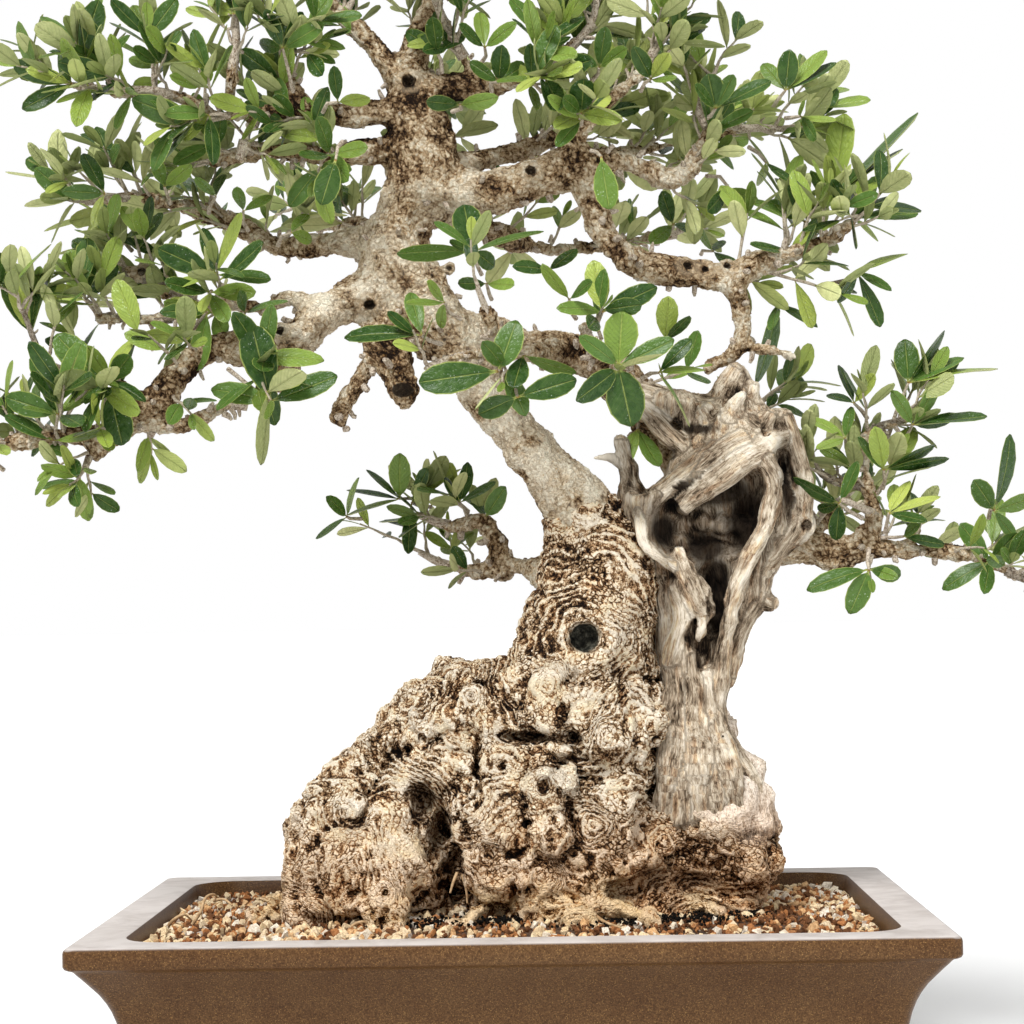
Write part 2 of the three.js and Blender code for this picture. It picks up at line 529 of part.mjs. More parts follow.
// A tapered tube along a smooth curve through [x, y, z, radius] points.
function limb(route, sides, grow = 0) {
  const points = route.map(([x, y, z]) => new Vector3(x, y, z));
  const curve = new THREE.CatmullRomCurve3(points, false, "centripetal");
  const count = route.length - 1;
  const normal = new Vector3();
  const loops = [];
  for (let k = 0; k <= count; k++) {
    const radius = route[k][3] + grow;
    const centre = curve.getPoint(k / count);
    const along = curve.getTangent(k / count);
    if (k === 0) normal.set(along.z, along.x, along.y);
    if (k === 0) centre.addScaledVector(along, -grow);
    if (k === count) centre.addScaledVector(along, grow);
    normal.addScaledVector(along, -normal.dot(along)).normalize();
    const across = new Vector3().crossVectors(along, normal);
    loops.push(Array.from({ length: sides }, (_, i) => {
      const angle = (2 * Math.PI * i) / sides;
      return centre.clone()
        .addScaledVector(normal, radius * Math.cos(angle))
        .addScaledVector(across, radius * Math.sin(angle));
    }));
  }
  return solidOf(loft(loops));
}

const sidesFor = (radius) => (radius > 9 ? 7 : radius > 5.5 ? 5 : 4);

const BURR_LINE = [[6, 0, -22], [10, 0, 30], [20, 0, 80], [28, 0, 124]];
const DEADWOOD_LINE = [[86, 6, 58], [86, 8, 100], [98, 8, 165], [102, 8, 210], [108, 4, 240],
  [109, 2, 266]];

// The wood of the tree, all of one piece. A grow of more than 0 gives the room it needs in other nodes.
function wood(grow = 0) {
  const limbs = Object.values(LIMBS).map((route) => limb(route, sidesFor(route[0][3]), grow));
  const ridges = DEADWOOD_RIDGES.map((route) => limb(route, 5, grow));
  const burr = skin(BURR, BURR_HOLLOWS, BURR_LINE, 13, 32, grow);
  const deadwood = skin(DEADWOOD, DEADWOOD_HOLLOWS, DEADWOOD_LINE, 15, 18, grow);
  return unionOf([burr, deadwood, ...limbs, ...ridges]);
}

// ---------------------------------------------------------------- sprays of leaves

const LEAF_ANGLE = 52; // degrees between a leaf and its twig
const NODE_HALF = 0.9; // half the height of the swelling that a pair of leaves grows from
const LEAFY_STRETCH = [0.4, 0.98]; // first and last pair of leaves, as shares of the twig
const UP = new Vector3(0, 0, 1);
const RIGHT = new Vector3(1, 0, 0);

// Outline of a blade as [share of the length, share of the half width], and where its rib is highest.
const BLADE_NEAR = [0.3, 0.9];
const BLADE_FAR = [0.72, 0.82];
const BLADE_CROWN = 0.5;

// The seven points of a blade past its foot: left near and far, tip, right far and near, and the
// rib above and below.
function bladePoints({ root, along, up, length, width, droop }) {
  const side = new Vector3().crossVectors(up, along).normalize();
  const face = new Vector3().crossVectors(along, side).normalize();
  const at = (share, across, lift) =>
    root.clone()
      .addScaledVector(along, length * share)
      .addScaledVector(side, width * across)
      .addScaledVector(face, lift - droop * length * share * share);
  const [near, far] = [BLADE_NEAR, BLADE_FAR];
  return [at(near[0], -near[1], 0), at(far[0], -far[1], 0), at(1, 0, 0), at(far[0], far[1], 0),
    at(near[0], near[1], 0), at(BLADE_CROWN, 0, LEAF_THICK / 2), at(BLADE_CROWN, 0, -LEAF_THICK / 2)];
}

// The faces of a blade that grows out of the foursided patch a, b, c, d; its points start at index n.
function bladeFaces(a, b, c, d, n) {
  const [leftNear, leftFar, tip, rightFar] = [n, n + 1, n + 2, n + 3];
  const [rightNear, above, below] = [n + 4, n + 5, n + 6];
  return [
    a, b, below, b, rightNear, below, a, below, leftNear, b, c, rightNear,
    c, d, above, c, above, rightNear, d, leftNear, above, d, a, leftNear,
    below, rightNear, rightFar, below, rightFar, tip, below, tip, leftFar, below, leftFar, leftNear,
    above, rightFar, rightNear, above, tip, rightFar, above, leftFar, tip, above, leftNear, leftFar,
  ];
}

// The rings of a twig: one at its root, then two at each pair of leaves.
function twigRings([, rootAt, tipAt, pairs], seed) {
  const root = new Vector3(...rootAt);
  const tip = new Vector3(...tipAt);
  const along = tip.clone().sub(root);
  const reach = along.length();
  along.normalize();
  const first = new Vector3().crossVectors(along, Math.abs(along.z) > 0.8 ? RIGHT : UP).normalize();
  const across = new Vector3().crossVectors(along, first);
  const sag = new Vector3(spread(-2, 2, seed, 91), spread(-2, 2, seed, 92), -1.5);
  const ring = (distance) => {
    const share = distance / reach;
    const radius = THREE.MathUtils.lerp(...TWIG_RADIUS, share);
    const centre = root.clone()
      .addScaledVector(along, distance)
      .addScaledVector(sag, 4 * share * (1 - share));
    return [45, 135, 225, 315].map((degrees) => {
      const angle = THREE.MathUtils.degToRad(degrees);
      return centre.clone()
        .addScaledVector(first, radius * Math.cos(angle))
        .addScaledVector(across, radius * Math.sin(angle));
    });
  };
  const rings = [ring(0)];
  for (let pair = 0; pair < pairs; pair++) {
    const knot = reach * THREE.MathUtils.lerp(...LEAFY_STRETCH, pair / Math.max(1, pairs - 1));
    rings.push(ring(knot - NODE_HALF), ring(knot + NODE_HALF));
  }
  return { along, rings };
}

// The leaf that grows from the patch a, b, c, d of a twig, out at an angle, or straight on from its tip.
function leafAt(patch, along, angle, turn, length, seed, key) {
  const root = patch.reduce((sum, p) => sum.add(p), new Vector3()).divideScalar(4);
  const [edge, rise] = [patch[1], patch[3]].map((p) => p.clone().sub(patch[0]));
  const outward = new Vector3().crossVectors(edge, rise).normalize();
  const direction = along.clone().multiplyScalar(Math.cos(angle)).addScaledVector(outward, Math.sin(angle));
  const round = THREE.MathUtils.degToRad(turn + spread(-20, 20, seed, key, 1));
  return {
    root,
    along: direction.applyAxisAngle(along, round).normalize(),
    up: angle > 0 ? along.clone().addScaledVector(UP, 0.6) : rise.normalize(),
    length: length * spread(0.78, 1.14, seed, key, 2),
    width: length * spread(0.2, 0.26, seed, key, 3),
    droop: spread(-0.04, 0.16, seed, key, 4),
  };
}

const CLEAR_TURNS = [0, 20, -20, 38, -38]; // degrees a leaf is turned round its twig to get clear

// A leafy twig as one closed body: pairs of leaves that cross each other up the twig, and one at its tip.
function spray(row, seed, isClear) {
  const [, , , pairs, length] = row;
  const { along, rings } = twigRings(row, seed);
  const points = rings.flat();
  const faces = [];
  const grown = [];
  const last = 4 * (rings.length - 1);
  const patches = [];
  for (let k = 0; k + 1 < rings.length; k++) {
    for (let i = 0; i < 4; i++) {
      const corners = [4 * k + i, 4 * k + ((i + 1) % 4), 4 * k + 4 + ((i + 1) % 4), 4 * k + 4 + i];
      const leafy = k % 2 === 1 && i % 2 === ((k - 1) / 2) % 2;
      const angle = LEAF_ANGLE + spread(-14, 14, seed, k, i) - 3 * k;
      patches.push([corners, leafy ? THREE.MathUtils.degToRad(angle) : null]);
    }
  }
  patches.push([[last, last + 1, last + 2, last + 3], 0], [[3, 2, 1, 0], null]);
  patches.forEach(([corners, angle], key) => {
    const [a, b, c, d] = corners;
    const patch = corners.map((i) => points[i]);
    const leaf = angle === null ? null : CLEAR_TURNS
      .map((turn) => bladePoints(leafAt(patch, along, angle, turn, length, seed, key)))
      .find((blade) => {
        const closed = [0, 2, 1, 0, 3, 2, ...bladeFaces(0, 1, 2, 3, 4)];
        const solid = solidOf(geometryOf([...patch, ...blade], closed));
        const fits = isClear(solid) && grown.every((other) => solid.intersect(other).volume() < CROSSING);
        if (fits) grown.push(solid);
        return fits;
      });
    faces.push(...(leaf ? bladeFaces(a, b, c, d, points.length) : [a, b, c, a, c, d]));
    points.push(...(leaf ?? []));
  });
  return solidOf(geometryOf(points, faces));
}

const CROSSING = 0.001; // mm3: less than this is no crossing

// Every spray, each kept clear of the wood and of the others, its root let into the wood.
function sprays(room) {
  const twigs = SPRAYS.map((row, i) => solidOf(loft(twigRings(row, i + 1).rings)));
  const done = [];
  return SPRAYS.map((row, i) => {
    const others = [...done, ...twigs.slice(i + 1)];
    const isClear = (solid) => [room, ...others].every((other) =>
      !meets(solid, other) || solid.intersect(other).volume() < CROSSING);
    done.push(largest(spray(row, i + 1, isClear).subtract(room)));
    return done.at(-1);
  });
}

function meets(one, other) {
  const [a, b] = [one.boundingBox(), other.boundingBox()];
  return [0, 1, 2].every((k) => a.min[k] < b.max[k] && b.min[k] < a.max[k]);
}

// ---------------------------------------------------------------- assembly

const standing = new THREE.Group(); // lifts the tree to the rim
standing.position.set(-LEAN_PIVOT[0], 0, -LEAN_PIVOT[1]);
const lean = new THREE.Group();
lean.rotation.y = TREE_LEAN;
lean.position.set(LEAN_PIVOT[0] + TREE_SHIFT[0], 0, POT_HEIGHT + LEAN_PIVOT[1] + TREE_SHIFT[1]);
lean.add(standing);
const tree = new THREE.Group();
tree.add(lean);

const room = wood(SEAT_GAP);
standing.add(meshOf("olive_wood", wood(), BARK));
sprays(room).forEach((solid, i) => standing.add(meshOf("spray_" + SPRAYS[i][0], solid, LEAF)));

// The soil is cut back from the leaning wood and from the drain meshes.
tree.updateMatrixWorld(true);
const cuts = [solidOf(meshOf("room", room, BARK).geometry.applyMatrix4(standing.matrixWorld))];
[["left", -DRAIN_X], ["right", DRAIN_X]].forEach(([side, x]) => {
  const mesh = meshOf("drain_mesh_" + side, drainMesh(), MESH);
  mesh.position.set(x, 0, DRAIN_MESH_Z);
  tree.add(mesh);
  const roomSide = DRAIN_MESH_SIDE + 2 * SEAT_GAP;
  const roomAbove = new THREE.BoxGeometry(roomSide, roomSide, DRAIN_MESH_THICK + 2 * SEAT_GAP);
  cuts.push(solidOf(roomAbove.translate(x, 0, DRAIN_MESH_Z)));
});
tree.add(meshOf("pot", pot(), CLAY));
tree.add(meshOf("soil", largest(soil().subtract(unionOf(cuts))), GRIT));

// The origin is the middle of the object's outline, on the table.
const bonsai = new THREE.Group();
bonsai.add(tree);
tree.updateMatrixWorld(true);
const box = new THREE.Box3().setFromObject(tree, true);
tree.position.set(-(box.min.x + box.max.x) / 2, -(box.min.y + box.max.y) / 2, -box.min.z);

export default bonsai;
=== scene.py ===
"""Looks of the olive bonsai: bark, deadwood, leaves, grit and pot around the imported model.

The tree is described in its own frame, in millimetres: x to the right, y away from the front and
z up from the plane of the pot's rim. plant() leans it, sets it in the pot and gives metres.
"""
import json
import math

import bmesh
import bpy
import numpy as np
import openvdb
from mathutils import Matrix, Vector

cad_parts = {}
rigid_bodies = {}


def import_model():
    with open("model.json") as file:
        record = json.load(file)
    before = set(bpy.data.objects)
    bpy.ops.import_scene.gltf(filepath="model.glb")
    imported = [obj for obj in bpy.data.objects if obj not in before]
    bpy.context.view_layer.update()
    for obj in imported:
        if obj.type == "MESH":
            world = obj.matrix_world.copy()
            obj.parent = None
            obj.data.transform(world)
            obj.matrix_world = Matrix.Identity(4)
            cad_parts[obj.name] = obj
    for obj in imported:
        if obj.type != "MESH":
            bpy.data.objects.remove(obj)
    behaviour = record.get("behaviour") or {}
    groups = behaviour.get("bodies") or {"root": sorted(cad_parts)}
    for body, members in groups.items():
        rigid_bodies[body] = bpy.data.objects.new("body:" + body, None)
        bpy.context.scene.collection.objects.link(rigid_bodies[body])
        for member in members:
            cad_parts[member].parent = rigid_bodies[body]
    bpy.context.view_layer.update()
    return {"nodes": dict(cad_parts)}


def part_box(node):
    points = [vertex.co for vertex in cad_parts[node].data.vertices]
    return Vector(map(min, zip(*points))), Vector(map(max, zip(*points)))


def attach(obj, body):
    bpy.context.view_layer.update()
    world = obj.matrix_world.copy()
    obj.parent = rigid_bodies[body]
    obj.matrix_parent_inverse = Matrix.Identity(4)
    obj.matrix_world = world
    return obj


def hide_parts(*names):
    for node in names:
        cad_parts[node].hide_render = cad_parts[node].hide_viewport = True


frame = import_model()

MM = 0.001
ROOT = "root"
POT_LOW, POT_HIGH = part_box("pot")
POT_MIDDLE_X = (POT_LOW.x + POT_HIGH.x) / 2
RIM_Z = POT_HIGH.z

# ------------------------------------------------------------------ camera, light and floor

EYE = (POT_MIDDLE_X + 0.0245, -1.198, RIM_Z + 0.1457)
EYE_PAN, EYE_TILT, EYE_ROLL = 1.12, 92.33, -1.0  # degrees
LENS_MM, SENSOR_MM = 84.375, 36.0
SKY_LIGHT = 0.56
SUN_LIGHT, SUN_SPREAD = 3.3, 26.0  # watts on a square metre, degrees
FILL_LIGHT, FILL_SIZE = 5.0, 0.8  # watts, metres
FILL_PLACE, FILL_AIM = Vector((1.2, -1.3, 0.75)), Vector((0.0, 0.0, 0.35))
FLOOR_HALF = 30.0


def link(name, data):
    """A new object in the scene."""
    thing = bpy.data.objects.new(name, data)
    bpy.context.collection.objects.link(thing)
    return thing


def turn(degrees, axis):
    return Matrix.Rotation(math.radians(degrees), 4, axis)


def set_camera():
    lens = bpy.data.cameras.new("camera")
    lens.lens, lens.sensor_width = LENS_MM, SENSOR_MM
    camera = link("camera", lens)
    camera.matrix_world = (Matrix.Translation(EYE) @ turn(EYE_PAN, "Z") @ turn(EYE_TILT, "X")
                           @ turn(EYE_ROLL, "Z"))
    bpy.context.scene.camera = camera


def set_light():
    world = bpy.data.worlds.new("studio")
    world.use_nodes = True
    background = Node(world.node_tree.nodes["Background"])
    background["Color"] = (1.0, 1.0, 1.0)
    in_sight = node(world.node_tree, "ShaderNodeLightPath")["Is Camera Ray"]
    background["Strength"] = between(in_sight, 0.0, 1.0, SKY_LIGHT, 1.0)
    bpy.context.scene.world = world
    sun = bpy.data.lights.new("window", "SUN")
    sun.energy, sun.angle = SUN_LIGHT, math.radians(SUN_SPREAD)
    link("window", sun).matrix_world = turn(-28, "Z") @ turn(40, "X")
    fill = bpy.data.lights.new("fill", "AREA")
    fill.shape, fill.size, fill.energy, fill.color = "DISK", FILL_SIZE, FILL_LIGHT, (0.98, 0.99, 1.0)
    aim = (FILL_AIM - FILL_PLACE).to_track_quat("-Z", "Y").to_matrix().to_4x4()
    link("fill", fill).matrix_world = Matrix.Translation(FILL_PLACE) @ aim
    bpy.context.scene.view_settings.view_transform = "Standard"


def floor_surface(tree, shader):
    shader["Base Color"] = (0.93, 0.93, 0.925)
    shader["Roughness"] = 0.9


def set_floor():
    mesh = bpy.data.meshes.new("floor")
    corners = [(x * FLOOR_HALF, y * FLOOR_HALF, 0) for x, y in ((-1, -1), (1, -1), (1, 1), (-1, 1))]
    mesh.from_pydata(corners, [], [(0, 1, 2, 3)])
    mesh.materials.append(material("pale_floor", floor_surface))
    link("floor", mesh)


# ------------------------------------------------------------------ small tools

TREE_LEAN = math.radians(1.0)
LEAN_PIVOT = (20.5, 147.0)  # the tree leans round this x and z
TREE_SHIFT = (4.0, -1.3)  # and then moves this far to the right and up


def in_part(x, y, z):
    """Millimetres round the middle of the pot's rim, to the part's frame and metres."""
    return np.stack([x * MM + POT_MIDDLE_X, y * MM, z * MM + RIM_Z], -1)


def plant(points):
    """Points of the tree, in its own frame and millimetres, to the part's frame and metres."""
    p = np.asarray(points, float)
    dx, dz = p[..., 0] - LEAN_PIVOT[0], p[..., 2] - LEAN_PIVOT[1]
    x = dx * math.cos(TREE_LEAN) + dz * math.sin(TREE_LEAN) + LEAN_PIVOT[0] + TREE_SHIFT[0]
    z = dz * math.cos(TREE_LEAN) - dx * math.sin(TREE_LEAN) + LEAN_PIVOT[1] + TREE_SHIFT[1]
    return in_part(x, p[..., 1], z)


def mesh_from(name, points, quads, attributes=None):
    """A mesh of four-sided faces, with values kept at its points."""
    mesh = bpy.data.meshes.new(name)
    mesh.vertices.add(len(points))
    mesh.vertices.foreach_set("co", np.asarray(points, np.float32).ravel())
    mesh.loops.add(len(quads) * 4)
    mesh.loops.foreach_set("vertex_index", np.asarray(quads, np.int32).ravel())
    mesh.polygons.add(len(quads))
    mesh.polygons.foreach_set("loop_start", np.arange(0, len(quads) * 4, 4, dtype=np.int32))
    mesh.update(calc_edges=True)
    for key, values in (attributes or {}).items():
        keep(mesh, key, values)
    return mesh


def keep(mesh, key, values, domain="POINT"):
    """Keeps a number or a vector for each point, or for each face."""
    values = np.asarray(values, np.float32)
    kind, field = ("FLOAT_VECTOR", "vector") if values.ndim == 2 else ("FLOAT", "value")
    layer = mesh.attributes.new(key, kind, domain)
    layer.data.foreach_set(field, values.ravel())


def dress(thing, finish):
    """Gives a piece one material and no other."""
    thing.data.materials.clear()
    thing.data.materials.append(finish)


def smooth(mesh):
    mesh.polygons.foreach_set("use_smooth", np.ones(len(mesh.polygons), bool))


class Value:
    """An output of a node. Adding, taking away, multiplying or dividing it makes one more node."""

    def __init__(self, socket):
        self.socket, self.tree = socket, socket.id_data

    def __add__(self, other):
        return maths("ADD", self, other)

    def __radd__(self, other):
        return maths("ADD", other, self)

    def __sub__(self, other):
        return maths("SUBTRACT", self, other)

    def __rsub__(self, other):
        return maths("SUBTRACT", other, self)

    def __mul__(self, other):
        return maths("MULTIPLY", self, other)

    def __rmul__(self, other):
        return maths("MULTIPLY", other, self)

    def __rtruediv__(self, other):
        return maths("DIVIDE", other, self)


class Node:
    """A node: made["Name"] is that output of it, and made["Name"] = value sets that input."""

    def __init__(self, plain):
        self.plain = plain

    def __getitem__(self, key):
        return Value(self.plain.outputs[key])

    def __setitem__(self, key, value):
        socket = self.plain.inputs[key]
        if isinstance(value, Value):
            value.tree.links.new(value.socket, socket)
        elif socket.type == "RGBA":
            socket.default_value = (*value, 1.0)
        else:
            socket.default_value = value


def node(tree, kind, inputs=None, **settings):
    """A new node: its settings, then its inputs by name or number, each a plain value or a Value."""
    plain = tree.nodes.new(kind)
    for key, value in settings.items():
        setattr(plain, key, value)
    made = Node(plain)
    for key, value in (inputs or {}).items():
        made[key] = value
    return made


def tree_of(values):
    """The node tree that a calculation belongs to."""
    return next(value.tree for value in values if isinstance(value, Value))


def maths(operation, *values):
    return node(tree_of(values), "ShaderNodeMath", dict(enumerate(values)), operation=operation)[0]


def vector_maths(operation, *values, **named):
    return node(values[0].tree, "ShaderNodeVectorMath", {**dict(enumerate(values)), **named},
                operation=operation)[0]


def settle(thing):
    """The evaluated shape of an object, kept as its plain mesh with no modifiers."""
    graph = bpy.context.evaluated_depsgraph_get()
    made = bpy.data.meshes.new_from_object(thing.evaluated_get(graph), preserve_all_data_layers=True,
                                           depsgraph=graph)
    thing.modifiers.clear()
    old = thing.data
    thing.data = made
    made.name = thing.name
    if not old.users:
        bpy.data.meshes.remove(old)
    return thing


def run_nodes(thing, tree, **values):
    """Runs a node tree on an object with its named inputs set, and keeps the result."""
    modifier = thing.modifiers.new(tree.name, "NODES")
    modifier.node_group = tree
    for item in tree.interface.items_tree:
        if item.item_type == "SOCKET" and item.in_out == "INPUT" and item.name in values:
            modifier[item.identifier] = values[item.name]
    return settle(thing)


SOCKET_KINDS = {float: "NodeSocketFloat", int: "NodeSocketInt", tuple: "NodeSocketVector"}


def tree_ends(tree, inputs):
    """Adds inputs by name, each with a plain default or only its kind, and gives both end nodes."""
    for key, default in inputs.items():
        kind = SOCKET_KINDS.get(type(default), default)
        socket = tree.interface.new_socket(key, in_out="INPUT", socket_type=kind)
        if kind != default:
            socket.default_value = default
    return tree, node(tree, "NodeGroupInput"), node(tree, "NodeGroupOutput")


def geometry_tree(name, inputs):
    """A Geometry Nodes tree with a mesh in, a mesh out and named inputs."""
    tree = bpy.data.node_groups.new(name, "GeometryNodeTree")
    for way in ("INPUT", "OUTPUT"):
        tree.interface.new_socket("Mesh", in_out=way, socket_type="NodeSocketGeometry")
    return tree_ends(tree, inputs)


def group_tree(name, inputs, outputs):
    """A shader node group with named inputs, and outputs that are numbers."""
    tree = bpy.data.node_groups.new(name, "ShaderNodeTree")
    for key in outputs:
        tree.interface.new_socket(key, in_out="OUTPUT", socket_type="NodeSocketFloat")
    return tree_ends(tree, inputs)


def stored(tree, mesh, key, value, kind="FLOAT"):
    return node(tree, "GeometryNodeStoreNamedAttribute", {"Geometry": mesh, "Name": key, "Value": value},
                domain="POINT", data_type=kind)["Geometry"]


def read(tree, key, kind="FLOAT"):
    """What a mesh keeps under a name, in a Geometry Nodes tree."""
    return node(tree, "GeometryNodeInputNamedAttribute", {"Name": key}, data_type=kind)["Attribute"]


def finished(tree, mesh, material, out):
    """Ends a Geometry Nodes tree: nothing stays an instance, and all of it has its material."""
    realized = node(tree, "GeometryNodeRealizeInstances", {"Geometry": mesh})["Geometry"]
    out["Mesh"] = node(tree, "GeometryNodeSetMaterial", {"Geometry": realized, "Material": material})[0]


def hand_in(thing, slot, *nodes):
    """What every piece tells the frame: its body and the nodes it stands for. Its material slot is not used.
    """
    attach(thing, ROOT)
    if nodes:
        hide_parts(*nodes)


# ------------------------------------------------------------------ the tree in its own frame

# Swellings and hollows of the burr and the deadwood: centre, then half sizes along x, y and z.
BURR = [
    [-79, -6, 27, 38, 36, 38],  # left lobe
    [-60, -22, 26, 21, 21, 31],
    [-88, -4, 0, 34, 34, 18],
    [-72, 4, 52, 26, 28, 22],
    [-48, 6, 68, 32, 32, 28],
    [-30, 4, 88, 30, 30, 26],  # left shoulder
    [-12, 2, 97, 34, 32, 24],
    [30, -2, 107, 40, 36, 34],
    [22, -4, 72, 52, 43, 42],  # body
    [22, -6, 28, 58, 46, 40],
    [24, -4, -6, 52, 44, 20],
    [-10, -28, 38, 24, 24, 30],  # central lobe
    [42, -34, 78, 26, 17, 24],
    [14, -46, 58, 14, 12, 14],
    [8, -44, 22, 20, 14, 19],
    [100, 0, 40, 28, 33, 34],  # burr under the deadwood
    [84, 2, 10, 30, 34, 26],
    [88, 0, 74, 20, 24, 28],
    [120, -6, 25, 10, 13, 12],
    [-30, 26, 44, 32, 26, 34],  # back of the base
    [50, 34, 52, 34, 22, 34],
    [2, 38, 14, 40, 24, 26],
]
BURR_HOLLOWS = [
    [-46, -36, 53, 6, 24, 9],  # cleft beside the left lobe
    [-38, -36, 38, 5.5, 25, 12],
    [-31, -36, 22, 5.5, 26, 13],
    [-29, -34, 5, 8, 20, 11],
    [3, -40, 85, 10, 14, 2.4],
    [75, -42, 17, 20, 14, 7],  # undercut above the soil
]
DEADWOOD = [
    [86, 0, 97, 15, 19, 34],  # neck
    [90, 0, 130, 21, 22, 36],
    [96, 0, 165, 32, 26, 34],
    [98, 0, 200, 40, 29, 28],
    [66, -4, 192, 12, 18, 24],  # left edge of the shell
    [107, 2, 228, 27, 23, 22],  # cap
    [109, 2, 252, 9, 9, 15],
    [133, 0, 186, 8, 10, 9],
]
# What time and rot have taken away.
DEADWOOD_HOLLOWS = [
    [96, -30, 192, 21, 24, 20],  # mouth of the hollow
    [110, -28, 206, 14, 22, 17],
    [94, -30, 156, 11, 20, 32],
    [90, -28, 120, 7, 13, 26],  # gully down the deadwood
]
# The spike between the trunks, and the dead ridge that ties the deadwood to the second trunk.
DEADWOOD_RIDGES = [
    [[59, 4, 256, 6], [79, 2, 248, 9], [99, 2, 238, 14]],
    [[54, 0, 190, 6], [55, -2, 214, 4.5], [51, -2, 230, 3]],
    [[53, -2, 220, 3], [43, -4, 222, 1.8]],
]

